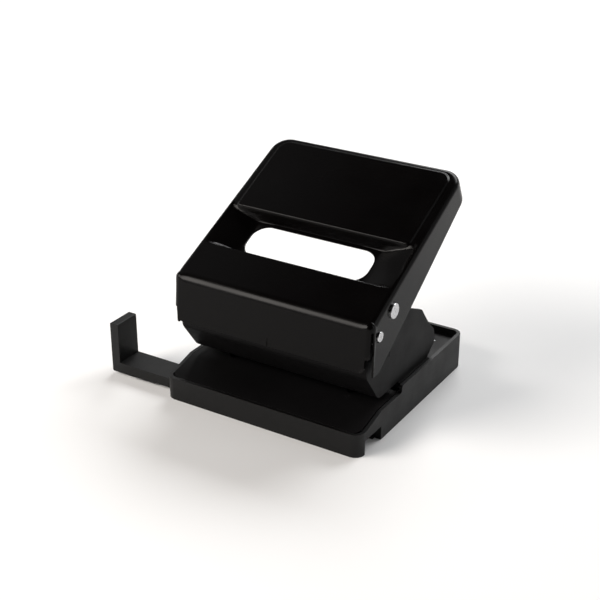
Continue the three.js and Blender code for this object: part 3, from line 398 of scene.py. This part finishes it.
class Surface:
    """A node material under construction, with short calls for the nodes that finishes share."""

    def __init__(self, name, base, roughness, metallic=0.0, **constants):
        self.material = bpy.data.materials.new(name)
        self.material.use_nodes = True
        self.tree = self.material.node_tree
        self.shader = self.tree.nodes["Principled BSDF"]
        self.shader.inputs["Base Color"].default_value = (*base, 1)
        self.shader.inputs["Roughness"].default_value = roughness
        self.shader.inputs["Metallic"].default_value = metallic
        for socket, value in constants.items():
            self.shader.inputs[socket.replace("_", " ")].default_value = value
        self.base = base
        self.roughness = roughness
        place = self.tree.nodes.new("ShaderNodeTexCoord")
        self.coordinates = place.outputs["Object"]

    def noise(self, scale, detail=4.0, roughness=0.55, stretch=(1, 1, 1)):
        move = self.tree.nodes.new("ShaderNodeMapping")
        move.inputs["Scale"].default_value = stretch
        node = self.tree.nodes.new("ShaderNodeTexNoise")
        node.inputs["Scale"].default_value = scale
        node.inputs["Detail"].default_value = detail
        node.inputs["Roughness"].default_value = roughness
        self.tree.links.new(self.coordinates, move.inputs["Vector"])
        self.tree.links.new(move.outputs["Vector"], node.inputs["Vector"])
        return node.outputs["Fac"]

    def spread(self, source, low, high, near=0.3, far=0.7):
        """Maps a value from near..far to low..high."""
        node = self.tree.nodes.new("ShaderNodeMapRange")
        for socket, value in zip(("From Min", "From Max", "To Min", "To Max"), (near, far, low, high)):
            node.inputs[socket].default_value = value
        self.tree.links.new(source, node.inputs["Value"])
        return node.outputs["Result"]

    def worn_edges(self, sharpness=0.52, reach=0.58):
        """One along outer edges and nothing on flats."""
        shape = self.tree.nodes.new("ShaderNodeNewGeometry")
        return self.spread(shape.outputs["Pointiness"], 0, 1, sharpness, reach)

    def multiply(self, first, second):
        node = self.tree.nodes.new("ShaderNodeMath")
        node.operation = "MULTIPLY"
        self.tree.links.new(first, node.inputs[0])
        self.tree.links.new(second, node.inputs[1])
        return node.outputs["Value"]

    def tint(self, amount, other):
        """Turns the base colour towards another where amount is high."""
        node = self.tree.nodes.new("ShaderNodeMix")
        node.data_type = "RGBA"
        node.inputs["A"].default_value = (*self.base, 1)
        node.inputs["B"].default_value = (*other, 1)
        self.tree.links.new(amount, node.inputs["Factor"])
        self.tree.links.new(node.outputs["Result"], self.shader.inputs["Base Color"])

    def vary_roughness(self, source, amount):
        result = self.spread(source, self.roughness - amount, self.roughness + amount)
        self.tree.links.new(result, self.shader.inputs["Roughness"])

    def bump(self, *layers):
        """Stacks (height, strength, distance) layers."""
        normal = None
        for height, strength, distance in layers:
            node = self.tree.nodes.new("ShaderNodeBump")
            node.inputs["Strength"].default_value = strength
            node.inputs["Distance"].default_value = distance
            self.tree.links.new(height, node.inputs["Height"])
            if normal is not None:
                self.tree.links.new(normal, node.inputs["Normal"])
            normal = node.outputs["Normal"]
        self.tree.links.new(normal, self.shader.inputs["Normal"])


def stoved_enamel(look):
    """Gloss paint with a faint orange peel and thin, slightly dulled edges."""
    paint = Surface("stoved_enamel", look.enamel, look.enamel_gloss, IOR=1.205)
    patches = paint.noise(35, 5)
    paint.vary_roughness(patches, 0.035)
    rubbed = paint.multiply(paint.worn_edges(0.53, 0.62), paint.spread(paint.noise(160, 6), 0, 0.5))
    paint.tint(rubbed, (0.02, 0.019, 0.019))
    paint.bump((paint.noise(650, 2), 0.035, 0.0002), (paint.noise(3800, 2), 0.02, 0.00005))
    return paint.material


def satin_paint(look):
    """Thin satin paint over rolled steel sheet."""
    paint = Surface("satin_paint", look.satin, look.satin_gloss, IOR=1.17)
    paint.vary_roughness(paint.noise(45, 6), 0.06)
    paint.tint(paint.spread(paint.noise(18, 3), 0, 0.6), tuple(c * 1.5 for c in look.satin))
    paint.bump((paint.noise(1500, 3), 0.12, 0.00012), (paint.noise(260, 3), 0.05, 0.0003))
    return paint.material


def moulded_plastic(look, name, ior):
    """Black plastic with the fine spark-eroded grain of its mould."""
    plastic = Surface(name, look.plastic, look.plastic_gloss, IOR=ior)
    plastic.vary_roughness(plastic.noise(60, 5), 0.05)
    scuffs = plastic.noise(220, 8, 0.7, (1, 0.25, 1))
    rubbed = plastic.multiply(plastic.worn_edges(), plastic.spread(scuffs, 0, 0.7))
    plastic.tint(rubbed, (0.006, 0.006, 0.006))
    plastic.bump((plastic.noise(2600, 4, 0.65), 0.22, 0.00012), (plastic.noise(120, 2), 0.04, 0.0004))
    return plastic.material


def turned_steel(look):
    """Bare steel with the fine, uneven grain of a turned face."""
    metal = Surface("turned_steel", look.steel, 0.3, 1.0)
    grain = metal.noise(900, 3, 0.5)
    metal.vary_roughness(grain, 0.08)
    metal.tint(metal.spread(metal.noise(240, 5), 0, 0.5), (0.5, 0.5, 0.51))
    metal.bump((grain, 0.08, 0.00008))
    return metal.material


def plated_steel(look, name, roughness, stretch):
    """Zinc plate with a brushed grain."""
    metal = Surface(name, look.zinc, roughness, 1.0)
    metal.vary_roughness(metal.noise(400, 5), 0.07)
    metal.tint(metal.spread(metal.noise(90, 4), 0, 0.7), tuple(c * 0.72 for c in look.zinc))
    metal.bump((metal.noise(1400, 3, 0.5, stretch), 0.12, 0.00008))
    return metal.material


def shared_material(name, maker):
    """The named material, made once."""
    return bpy.data.materials.get(name) or maker()


# ---------------------------------------------------------------------------
# Lever
# ---------------------------------------------------------------------------

# Fineness of the lever's mesh: spacings in millimetres, and steps round an edge or down a wall.
PLAN_GAP = 2.4
WINDOW_GAP = 1.5
RING_GAP = 1.6
GRID_GAP = 2.3
LEAST_GAP = 0.18
CORNER_STEPS = 12
WINDOW_STEPS = 14
TRIM_STEPS = 8
EDGE_STEPS = 7
WALL_STEPS = 4

# Rounding of the lever's cut edges.
CUT_EDGE_ROUND = 0.22

# Rings along the pad's step, as shares of its width either side of the pad's edge.
PAD_RINGS = (-0.75, -0.5, -0.3, -0.1, 0.1, 0.3, 0.5, 0.75)


def soft_min(a, b, blend):
    """The lesser of two values, rounded over where they are within blend of each other."""
    near = max(blend - abs(a - b), 0) / blend
    return min(a, b) - near * near * blend / 4


def ease(share):
    share = min(max(share, 0.0), 1.0)
    return share * share * (3 - 2 * share)


def spaced(points, gap):
    """A closed outline with further points along its long sides."""
    dense = []
    for here, after in zip(points, points[1:] + points[:1]):
        steps = max(1, round(math.dist(here, after) / gap))
        dense += [
            tuple(a + (b - a) * k / steps for a, b in zip(here, after)) for k in range(steps)
        ]
    return dense


def inside(point, loop):
    """Whether a point lies inside a closed loop."""
    x, y = point
    found = False
    for (x0, y0), (x1, y1) in zip(loop, loop[1:] + loop[:1]):
        if (y0 > y) != (y1 > y) and x < x0 + (y - y0) / (y1 - y0) * (x1 - x0):
            found = not found
    return found


class LeverShape:
    """Works out the lever's surface on its plate: x across, u up the slope, w off the plate."""

    # Millimetres over which the channel's faces run into each other and into the plate.
    wall_blend = 1.6
    end_blend = 4.6
    floor_blend = 1
    rim_front = 2.2
    rim_gain = 2.6
    window_ledge = 1.5
    # How much less than its plan radius a front corner's rounding is, and its run up to full.
    corner_relief = 0.4
    corner_run = 3.5
    # How far up the plate the walls turn from the skirt's lean to square.
    wall_turn = 60

    def __init__(self, sizes):
        self.s = sizes
        self.up = Vector((0, math.cos(sizes.slope), math.sin(sizes.slope)))
        self.off = Vector((0, -math.sin(sizes.slope), math.cos(sizes.slope)))
        self.bend = Vector((0, sizes.bend_y, sizes.bend_z))
        self.skirt = Vector((0, -sizes.skirt_lean, -sizes.skirt_drop)).normalized()
        self.tip = Vector((0, sizes.flange_tip_y, sizes.flange_tip_z))
        self.flange_top = self.point(0, sizes.plate_length, -sizes.flange_depth)

    def point(self, x, u, w):
        return self.bend + self.up * u + self.off * w + Vector((x, 0, 0))

    def half(self, u):
        return self.s.half_width - self.s.taper * u / self.s.plate_length

    def plan(self):
        """The plate's outline seen square to it."""
        top = self.s.plate_length
        front, rear = self.s.front_corner, self.s.corner_radius
        return spaced(rounded([
            (-self.half(0), 0, front),
            (self.half(0), 0, front),
            (self.half(top), top, rear),
            (-self.half(top), top, rear),
        ], CORNER_STEPS), PLAN_GAP)

    def window(self):
        s = self.s
        across, along = (-s.window_half, s.window_half), (s.window_low, s.window_high)
        return spaced(rectangle(across, along, s.window_radius, WINDOW_STEPS), WINDOW_GAP)

    def pad_outline(self, grow):
        """The pad's edge; its lower corners are tighter than its upper ones."""
        s = self.s
        half, low, high = s.pad_half + grow, s.pad_low - grow, s.pad_high + grow
        lower, upper = s.pad_lower_radius + grow, s.pad_radius + grow
        return rounded([
            (-half, low, lower), (half, low, lower), (half, high, upper), (-half, high, upper),
        ], CORNER_STEPS)

    def pad_distance(self, x, u):
        """How far inside the pad's edge a point is."""
        s = self.s
        middle = (s.pad_low + s.pad_high) / 2
        radius = s.pad_radius if u > middle else s.pad_lower_radius
        across = abs(x) - (s.pad_half - radius)
        along = abs(u - middle) - ((s.pad_high - s.pad_low) / 2 - radius)
        outside = math.hypot(max(across, 0), max(along, 0))
        return radius - outside - min(max(across, along), 0)

    def height(self, x, u):
        """Height of the pressed surface over the plate."""
        s = self.s
        front = (u - s.channel_low) * s.channel_depth / s.channel_front_run
        back = (s.channel_high - u) * s.channel_depth / s.channel_back_run
        end_run = s.channel_half - s.window_half - self.window_ledge
        end = (s.channel_half - abs(x)) * s.channel_depth / end_run
        walls = soft_min(soft_min(front, back, self.wall_blend), end, self.end_blend)
        depth = soft_min(walls, s.channel_depth, self.floor_blend)
        rim = self.rim_front + self.rim_gain * ease((u - s.window_low) / (s.window_high - s.window_low))
        depth = -soft_min(-depth, 0, rim) if depth > -rim else 0
        share = ease(self.pad_distance(x, u) / s.pad_edge + 0.5)
        return share * s.pad_rise - depth

    def edge_radius(self, x, u):
        """Radius of the rounding at a point of the outline; it is least in the front corners."""
        s = self.s
        full = s.bend_radius if u < 1 else s.edge_radius
        least = s.front_corner - self.corner_relief
        share = ease((max(self.half(u) - abs(x), u) - s.front_corner) / self.corner_run)
        return least + (full - least) * share

    def wall(self, u):
        """The direction in which a wall runs down from the plate at u."""
        share = ease((u - self.s.front_corner) / self.wall_turn)
        return (self.skirt * (1 - share) - self.off * share).normalized()

    def wall_reach(self, start, down):
        """How far a wall runs from its start to the lower edge of the flanges."""
        to_floor = (start.z - self.tip.z) / -down.z
        edge = self.flange_top - self.tip
        square = Vector((0, -edge.z, edge.y))
        slant = down.dot(square)
        to_edge = (self.tip - start).dot(square) / slant if abs(slant) > 1e-6 else to_floor
        return min(value for value in (to_floor, to_edge) if value > 0)


def plate_levels(shape):
    """Grid lines across and up the plate, closer together where it is pressed."""
    s = shape.s
    rows = lines(0, s.plate_length, GRID_GAP)
    rows += lines(s.channel_low - 1, 4.6, 0.3)
    rows += lines(s.channel_high - s.channel_back_run - 2, 7.5, 0.35)
    columns = lines(0, s.half_width - 1, GRID_GAP)
    columns += lines(s.channel_half - 2.4, 3.4, 0.4)
    columns += lines(s.window_half, 3.8, 0.6)
    columns += [-x for x in columns if x > 0]
    return thinned(columns), thinned(rows)


def lines(start, run, gap):
    """Places a gap apart over a run from the start."""
    return [start + gap * k for k in range(int(run / gap) + 1)]


def thinned(values):
    kept = []
    for value in sorted(values):
        if not kept or value - kept[-1] > LEAST_GAP:
            kept.append(value)
    return kept


def plate_mesh(shape, edge_loop):
    """Points (x, u) and triangles of the plate between its rounded edge and the window."""
    window = shape.window()
    points = list(edge_loop) + window
    count = len(edge_loop)
    edges = [(i, (i + 1) % count) for i in range(count)]
    edges += [(count + i, count + (i + 1) % len(window)) for i in range(len(window))]
    pad_edge = shape.s.pad_edge
    for share in PAD_RINGS:
        ring = spaced(shape.pad_outline(share * pad_edge), RING_GAP)
        edges += [(len(points) + i, len(points) + (i + 1) % len(ring)) for i in range(len(ring))]
        points += ring
    fixed = KDTree(count + len(window))
    for i in range(count + len(window)):
        fixed.insert((*points[i], 0), i)
    fixed.balance()
    clear_of_outline, clear_of_pad_edge = 0.5, pad_edge * 0.86
    columns, rows = plate_levels(shape)
    for u in rows:
        joined = False
        for x in columns:
            if (
                abs(shape.pad_distance(x, u)) < clear_of_pad_edge
                or fixed.find((x, u, 0))[2] < clear_of_outline
                or not inside((x, u), edge_loop)
                or inside((x, u), window)
            ):
                joined = False
                continue
            if joined:
                edges.append((len(points) - 1, len(points)))
            points.append((x, u))
            joined = True
    flat = [Vector(p) for p in points]
    placed, _, triangles, _, _, _ = delaunay_2d_cdt(flat, edges, [], 1, 1e-4)
    kept = []
    for triangle in triangles:
        middle = sum((placed[i] for i in triangle), Vector((0, 0))) / 3
        if not inside(tuple(middle), window):
            kept.append(triangle)
    return placed, kept


def edge_frames(shape):
    """For each outline point: the rounding's start, centre and radius, the wall's normal and way down."""
    plan = shape.plan()
    frames = []
    for before, (x, u), after in zip(plan[-1:] + plan[:-1], plan, plan[1:] + plan[:1]):
        along = (Vector(after) - Vector(before)).normalized()
        outward = shape.up * -along.x + Vector((along.y, 0, 0))
        tangent = shape.up * along.y + Vector((along.x, 0, 0))
        down = shape.wall(u)
        normal = tangent.cross(down).normalized()
        if normal.dot(outward) < 0:
            normal = -normal
        radius = shape.edge_radius(x, u)
        shift = radius * (1 - shape.off.dot(normal)) / outward.dot(normal)
        start = shape.point(x, u, 0) - outward * shift
        frames.append((start, start - shape.off * radius, radius, normal, down))
    return frames


def pressed_surface(shape):
    """The lever's upper and outer surface, open underneath."""
    frames = edge_frames(shape)
    loop = []
    for start, *_ in frames:
        flat = start - shape.bend
        loop.append((flat.x, flat.dot(shape.up)))
    placed, triangles = plate_mesh(shape, loop)

    def fill(work):
        tops = [work.verts.new(shape.point(x, u, shape.height(x, u))) for x, u in placed]
        for triangle in triangles:
            work.faces.new([tops[i] for i in triangle])
        rings = [tops[: len(loop)]]
        for step in range(1, EDGE_STEPS + 1):
            ring = []
            for _, centre, radius, normal, _ in frames:
                swing = shape.off.slerp(normal, step / EDGE_STEPS)
                ring.append(work.verts.new(centre + swing * radius))
            rings.append(ring)
        for step in range(1, WALL_STEPS + 1):
            ring = []
            for edge, (*_, down) in zip(rings[EDGE_STEPS], frames):
                reach = shape.wall_reach(edge.co, down)
                ring.append(work.verts.new(edge.co + down * (reach * step / WALL_STEPS)))
            rings.append(ring)
        for upper, lower in zip(rings, rings[1:]):
            for i in range(len(loop)):
                j = (i + 1) % len(loop)
                work.faces.new([upper[i], upper[j], lower[j], lower[i]])

    return new_object("lever", fill)


def press_lever(shape):
    """Bends the surface into sheet of the lever's thickness."""
    piece = pressed_surface(shape)
    if piece.data.polygons[0].normal.dot(shape.off) < 0:
        piece.data.flip_normals()
    step = piece.modifiers.new("sheet", "SOLIDIFY")
    step.thickness = shape.s.sheet
    step.offset = -1
    bake(piece)
    return piece


def trim_lever(shape, piece):
    """Cuts the skirt's corners and slits, its centre mark and the axle holes."""
    s = shape.s
    beyond, side = 12, 90
    slit_round, shoulder_round, foot_round, mark_round = 0.6, 0.8, 3.4, 0.1
    foot = s.bend_z - s.skirt_drop
    skirt_y = s.bend_y - s.skirt_lean
    outer, below = s.half_width + beyond, s.flange_tip_z - beyond / 2
    skirt = rounded([
        (-outer, s.slit_top),
        (-s.slit_half, s.slit_top, slit_round),
        (-s.slit_half, s.skirt_shoulder, slit_round),
        (-s.skirt_half, s.skirt_shoulder, shoulder_round),
        (-s.skirt_half, foot, foot_round),
        (s.skirt_half, foot, foot_round),
        (s.skirt_half, s.skirt_shoulder, shoulder_round),
        (s.slit_half, s.skirt_shoulder, slit_round),
        (s.slit_half, s.slit_top, slit_round),
        (outer, s.slit_top),
        (outer, below),
        (-outer, below),
    ], TRIM_STEPS)
    tools = [prism(skirt, (skirt_y - beyond, skirt_y + s.flange_front), along_y)]
    mark = rectangle((-s.mark_width / 2, s.mark_width / 2), (foot - 1, foot + s.mark_height), mark_round)
    tools.append(prism(mark, (skirt_y - beyond, skirt_y + s.mark_depth), along_y))
    for node, gap in (("pivot_axle", 0.35), ("drive_axle", 0.3)):
        low, high = (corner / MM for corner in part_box(node))
        radius = (high.z - low.z) / 2 + gap
        centre = (low + high) / 2
        tools.append(prism(circle(centre.y, centre.z, radius), (-side, side), along_x))
    cut(piece, *tools)


class PUNCH_OT_lever(bpy.types.Operator):
    """Press the lever from one sheet: plate, skirt, side flanges, finger window and hand pad"""

    bl_idname = "punch.lever"
    bl_label = "Lever"

    def execute(self, context):
        shape = LeverShape(millimetres(context.scene.punch_lever))
        piece = press_lever(shape)
        trim_lever(shape, piece)
        round_edges(piece, CUT_EDGE_ROUND, segments=2, sharper_than=58)
        smooth(piece, sharp_angle=42)
        look = context.scene.punch_finish
        paint = shared_material("stoved_enamel", lambda: stoved_enamel(look))
        deliver(piece, "pressed_lever", "lever", paint, ["lever"])
        return {"FINISHED"}


# ---------------------------------------------------------------------------
# Base, frame and guide
# ---------------------------------------------------------------------------


class PUNCH_OT_base(bpy.types.Operator):
    """Mould the base shell and the chip cover under it"""

    bl_idname = "punch.base"
    bl_label = "Base"

    def execute(self, context):
        sizes = millimetres(context.scene.punch_pieces)
        look = context.scene.punch_finish
        plastic = shared_material(
            "moulded_plastic", lambda: moulded_plastic(look, "moulded_plastic", 1.33)
        )
        finished("base_shell", "moulded_base", "base", plastic, sizes.shell_round)
        finished("chip_cover", "chip_tray_cover", "chip_cover", plastic, sizes.guide_round)
        return {"FINISHED"}


class PUNCH_OT_frame(bpy.types.Operator):
    """Fold the deck, the punch frame, the upper pin guide and the paper stop from sheet"""

    bl_idname = "punch.frame"
    bl_label = "Deck and frame"

    def execute(self, context):
        sizes = millimetres(context.scene.punch_pieces)
        look = context.scene.punch_finish
        paint = shared_material("satin_paint", lambda: satin_paint(look))
        finished("base_plate", "steel_deck", "base", paint, sizes.deck_round)
        frame_piece = from_node("punch_frame")
        self.round_chin(frame_piece, sizes)
        round_edges(frame_piece, sizes.frame_round)
        smooth(frame_piece)
        deliver(frame_piece, "folded_frame", "base", paint, ["punch_frame"])
        finished("guide_bridge", "upper_pin_guide", "base", paint, sizes.small_round)
        finished("paper_stop", "rear_paper_stop", "base", paint, sizes.small_round)
        return {"FINISHED"}

    def round_chin(self, piece, sizes):
        """Rounds the two bends of the frame's front wall."""
        low, high = (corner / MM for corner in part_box("punch_frame"))
        skin, under, far = 0.02, 2, 20
        front, bottom = low.y - skin, sizes.jaw_bottom - skin
        wall = rounded([
            (front, high.z + far),
            (front, sizes.chin_top, sizes.chin_radius),
            (sizes.jaw_front - skin, bottom, sizes.jaw_radius),
            (sizes.jaw_front + far, bottom),
            (sizes.jaw_front + far, bottom - under),
            (front - far, bottom - under),
            (front - far, high.z + far),
        ])
        cut(piece, prism(wall, (low.x - far, high.x + far), along_x))


class PUNCH_OT_guide(bpy.types.Operator):
    """Mould the sliding paper guide and bend its detent spring"""

    bl_idname = "punch.guide"
    bl_label = "Paper guide"

    def execute(self, context):
        sizes = millimetres(context.scene.punch_pieces)
        look = context.scene.punch_finish
        plastic = shared_material(
            "guide_moulding", lambda: moulded_plastic(look, "guide_moulding", 1.33)
        )
        finished("paper_guide", "sliding_guide", "paper_guide", plastic, sizes.guide_round)
        leaf = shared_material(
            "spring_leaf", lambda: plated_steel(look, "spring_leaf", 0.32, (1, 8, 8))
        )
        finished("guide_detent_spring", "detent_leaf", "base", leaf, LEAF_ROUND)
        return {"FINISHED"}


# ---------------------------------------------------------------------------
# Axles, pins, springs and fasteners
# ---------------------------------------------------------------------------

# Edge roundings of the smallest pieces, in millimetres.
LEAF_ROUND = 0.08
CLIP_ROUND = 0.12
PIN_ROUND = 0.15
SCREW_ROUND = 0.15
WASHER_ROUND = 0.2
RIVET_ROUND = 0.2


class PUNCH_OT_axles(bpy.types.Operator):
    """Turn the pivot axle and the drive axle with chamfered, centre-marked ends"""

    bl_idname = "punch.axles"
    bl_label = "Axles"

    def execute(self, context):
        sizes = millimetres(context.scene.punch_pieces)
        look = context.scene.punch_finish
        steel = shared_material("turned_steel", lambda: turned_steel(look))
        for node, name, body in (
            ("pivot_axle", "turned_pivot", "base"),
            ("drive_axle", "turned_drive", "lever"),
        ):
            low, high = (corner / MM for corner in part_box(node))
            radius = (high.z - low.z) / 2
            chamfer, dimple = sizes.axle_chamfer, sizes.axle_dimple
            # One end, from its centre mark out over the rounded chamfer.
            half = [
                (high.x - dimple * 0.5, 0),
                (high.x, dimple),
                (high.x, radius - chamfer * 1.5),
                (high.x - chamfer * 0.25, radius - chamfer * 0.7),
                (high.x - chamfer * 0.7, radius - chamfer * 0.25),
                (high.x - chamfer * 1.5, radius),
            ]
            piece = lathed(name, half + [(-x, r) for x, r in reversed(half)])
            centre = (low + high) / 2
            piece.data.transform(Matrix.Translation((0, centre.y, centre.z)))
            smooth(piece, 50)
            deliver(piece, name, body, steel, [node])
        return {"FINISHED"}


class PUNCH_OT_pins(bpy.types.Operator):
    """Turn the punch pins, and fit their clips, washers and coiled springs"""

    bl_idname = "punch.pins"
    bl_label = "Pins and springs"

    def execute(self, context):
        sizes = millimetres(context.scene.punch_pieces)
        look = context.scene.punch_finish
        steel = shared_material("turned_steel", lambda: turned_steel(look))
        zinc = shared_material("zinc_plate", lambda: plated_steel(look, "zinc_plate", 0.36, (1, 6, 1)))
        wire = shared_material("spring_wire", lambda: plated_steel(look, "spring_wire", 0.28, (1, 1, 9)))
        for side in SIDES:
            body = f"pin_{side}"
            pin, clip, washer = f"punch_pin_{side}", f"pin_clip_{side}", f"pivot_washer_{side}"
            finished(pin, f"ground_pin_{side}", body, steel, PIN_ROUND)
            finished(clip, f"retaining_clip_{side}", body, zinc, CLIP_ROUND)
            finished(washer, f"spacer_washer_{side}", "base", zinc, WASHER_ROUND)
            self.coil(side, sizes, wire)
        return {"FINISHED"}

    def coil(self, side, sizes, wire):
        """Sweeps the round wire of one spring along an evenly pitched helix, with its wire ends capped.
        """
        node = f"pin_spring_{side}"
        low, high = (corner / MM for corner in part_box(node))
        centre = (low + high) / 2
        radius = (high.x - low.x) / 2 - sizes.spring_wire
        bottom, top = low.z + sizes.spring_wire, high.z - sizes.spring_wire
        per_turn, ring = 36, 12
        count = sizes.spring_turns * per_turn

        def fill(work):
            rings = []
            for k in range(count + 1):
                share = k / count
                turn = math.tau * sizes.spring_turns * share
                out = Vector((math.cos(turn), math.sin(turn), 0))
                at = Vector((centre.x, centre.y, bottom + (top - bottom) * share)) + out * radius
                rings.append([
                    work.verts.new(
                        at + out * (sizes.spring_wire * math.cos(math.tau * j / ring))
                        + Vector((0, 0, sizes.spring_wire * math.sin(math.tau * j / ring)))
                    )
                    for j in range(ring)
                ])
            for near, far in zip(rings, rings[1:]):
                for j in range(ring):
                    i = (j + 1) % ring
                    work.faces.new([near[j], near[i], far[i], far[j]])
            work.faces.new(rings[0][::-1])
            work.faces.new(rings[-1])

        piece = new_object(f"coil_spring_{side}", fill)
        smooth(piece, 50)
        deliver(piece, f"coil_spring_{side}", f"pin_{side}", wire, [node])
        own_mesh(piece)


class PUNCH_OT_fasteners(bpy.types.Operator):
    """Finish the base screws and the rivets of the frame and the paper stop"""

    bl_idname = "punch.fasteners"
    bl_label = "Fasteners"

    def execute(self, context):
        look = context.scene.punch_finish
        zinc = shared_material("zinc_plate", lambda: plated_steel(look, "zinc_plate", 0.36, (1, 6, 1)))
        for number in range(1, 5):
            screw, rivet = f"base_screw_{number}", f"frame_rivet_{number}"
            finished(screw, f"cross_screw_{number}", "base", zinc, SCREW_ROUND)
            finished(rivet, f"domed_rivet_{number}", "base", zinc, RIVET_ROUND)
        for side in SIDES:
            rivet = f"stop_rivet_{side}"
            finished(rivet, f"stop_fixing_{side}", "base", zinc, RIVET_ROUND)
        return {"FINISHED"}


# ---------------------------------------------------------------------------
# Stage
# ---------------------------------------------------------------------------

# The sky's (place, grey) stops, by the sine of the height and by the cosine from the camera.
SKY_BY_HEIGHT = ((0.05, 1.0), (0.5, 0.006))
SKY_BY_SIDE = ((0.55, 1.0), (0.86, 0.02))


def soft_light(name, at, aim, size, watts, tone=(1, 1, 1)):
    data = bpy.data.lights.new(name, "AREA")
    data.color = tone
    data.shape = "RECTANGLE"
    data.size, data.size_y = size
    data.energy = watts
    lamp = bpy.data.objects.new(name, data)
    lamp.location = at
    lamp.rotation_euler = (Vector(aim) - Vector(at)).to_track_quat("-Z", "Y").to_euler()
    bpy.context.scene.collection.objects.link(lamp)


class PUNCH_OT_stage(bpy.types.Operator):
    """Lay the pale floor and set the camera, the colour view, the sky and the soft lights"""

    bl_idname = "punch.stage"
    bl_label = "Stage"

    def execute(self, context):
        stage = context.scene.punch_stage
        context.scene.view_settings.view_transform = "Standard"
        self.floor(stage)
        self.camera(context, stage)
        self.sky(context, stage)
        soft_light(
            "front_left_light", at=(-1.15, -1.25, 1.05), aim=(0, 0, 0.05), size=(1.3, 0.9), watts=41,
            tone=(1, 0.95, 0.9),
        )
        soft_light("right_light", at=(1.7, 0.3, 0.95), aim=(0, 0, 0.05), size=(1.0, 1.4), watts=5)
        soft_light("left_panel", at=(-1.35, 0.25, 1.25), aim=(0, 0, 0.08), size=(0.9, 1.2), watts=1.3)
        soft_light("rear_light", at=(0.1, 1.9, 1.6), aim=(0, 0.3, 0), size=(2.4, 1.0), watts=60)
        return {"FINISHED"}

    def floor(self, stage):
        half = stage.floor_half

        def fill(work):
            signs = ((-1, -1), (1, -1), (1, 1), (-1, 1))
            work.faces.new([work.verts.new((x * half, y * half, 0)) for x, y in signs])

        floor = new_object("floor", fill)
        paper = Surface("pale_floor", tuple(stage.floor_colour), 0.85)
        paper.bump((paper.noise(300, 2), 0.02, 0.0002))
        floor.data.materials.append(paper.material)

    def camera(self, context, stage):
        data = bpy.data.cameras.new("camera")
        data.lens = stage.lens
        data.sensor_width = 36
        data.clip_start, data.clip_end = 0.05, 40
        camera = bpy.data.objects.new("camera", data)
        camera.location = stage.camera_at
        camera.rotation_euler = (math.pi / 2 - stage.camera_elevation, 0, stage.camera_azimuth)
        context.scene.collection.objects.link(camera)
        context.scene.camera = camera

    def sky(self, context, stage):
        """Bright round the horizon, dark overhead and dark where the camera stands."""
        world = bpy.data.worlds.new("studio")
        world.use_nodes = True
        context.scene.world = world
        nodes, links = world.node_tree.nodes, world.node_tree.links
        place = nodes.new("ShaderNodeTexCoord")
        split = nodes.new("ShaderNodeSeparateXYZ")
        height = self.ramp(nodes, SKY_BY_HEIGHT)
        away = nodes.new("ShaderNodeVectorMath")
        away.operation = "DOT_PRODUCT"
        away.inputs[1].default_value = Vector(stage.camera_at).normalized()
        shade = self.ramp(nodes, SKY_BY_SIDE)
        join = nodes.new("ShaderNodeMixRGB")
        join.blend_type = "MULTIPLY"
        join.inputs["Fac"].default_value = 1
        links.new(place.outputs["Generated"], split.inputs["Vector"])
        links.new(split.outputs["Z"], height.inputs["Fac"])
        links.new(place.outputs["Generated"], away.inputs[0])
        links.new(away.outputs["Value"], shade.inputs["Fac"])
        links.new(height.outputs["Color"], join.inputs["Color1"])
        links.new(shade.outputs["Color"], join.inputs["Color2"])
        links.new(join.outputs["Color"], nodes["Background"].inputs["Color"])

    def ramp(self, nodes, stops):
        """A grey ramp through (place, grey) stops."""
        node = nodes.new("ShaderNodeValToRGB")
        for element, (place, grey) in zip(node.color_ramp.elements, stops):
            element.position = place
            element.color = (grey, grey, grey, 1)
        return node


# ---------------------------------------------------------------------------
# Add-on
# ---------------------------------------------------------------------------


class PUNCH_PT_panel(bpy.types.Panel):
    """Sizes, finishes and the pieces of the paper punch"""

    bl_idname = "PUNCH_PT_panel"
    bl_label = "Paper punch"
    bl_space_type = "VIEW_3D"
    bl_region_type = "UI"
    bl_category = "Punch"

    def draw(self, context):
        for operator in OPERATORS:
            self.layout.operator(operator.bl_idname)
        for group, (name, title) in GROUPS.items():
            box = self.layout.box()
            box.label(text=title)
            for size in group.__annotations__:
                box.prop(getattr(context.scene, name), size)


GROUPS = {
    LeverSizes: ("punch_lever", "Lever"),
    PieceSizes: ("punch_pieces", "Other pieces"),
    Finishes: ("punch_finish", "Finishes"),
    StageSizes: ("punch_stage", "Stage"),
}
OPERATORS = (
    PUNCH_OT_base,
    PUNCH_OT_frame,
    PUNCH_OT_guide,
    PUNCH_OT_axles,
    PUNCH_OT_pins,
    PUNCH_OT_fasteners,
    PUNCH_OT_lever,
    PUNCH_OT_stage,
)


def register():
    for group, (name, _) in GROUPS.items():
        bpy.utils.register_class(group)
        setattr(bpy.types.Scene, name, PointerProperty(type=group))
    for item in (*OPERATORS, PUNCH_PT_panel):
        bpy.utils.register_class(item)


def unregister():
    for item in (PUNCH_PT_panel, *reversed(OPERATORS)):
        bpy.utils.unregister_class(item)
    for group, (name, _) in reversed(GROUPS.items()):
        delattr(bpy.types.Scene, name)
        bpy.utils.unregister_class(group)


def main():
    register()
    for operator in OPERATORS:
        family, name = operator.bl_idname.split(".")
        getattr(getattr(bpy.ops, family), name)()


if __name__ == "__main__":
    main()
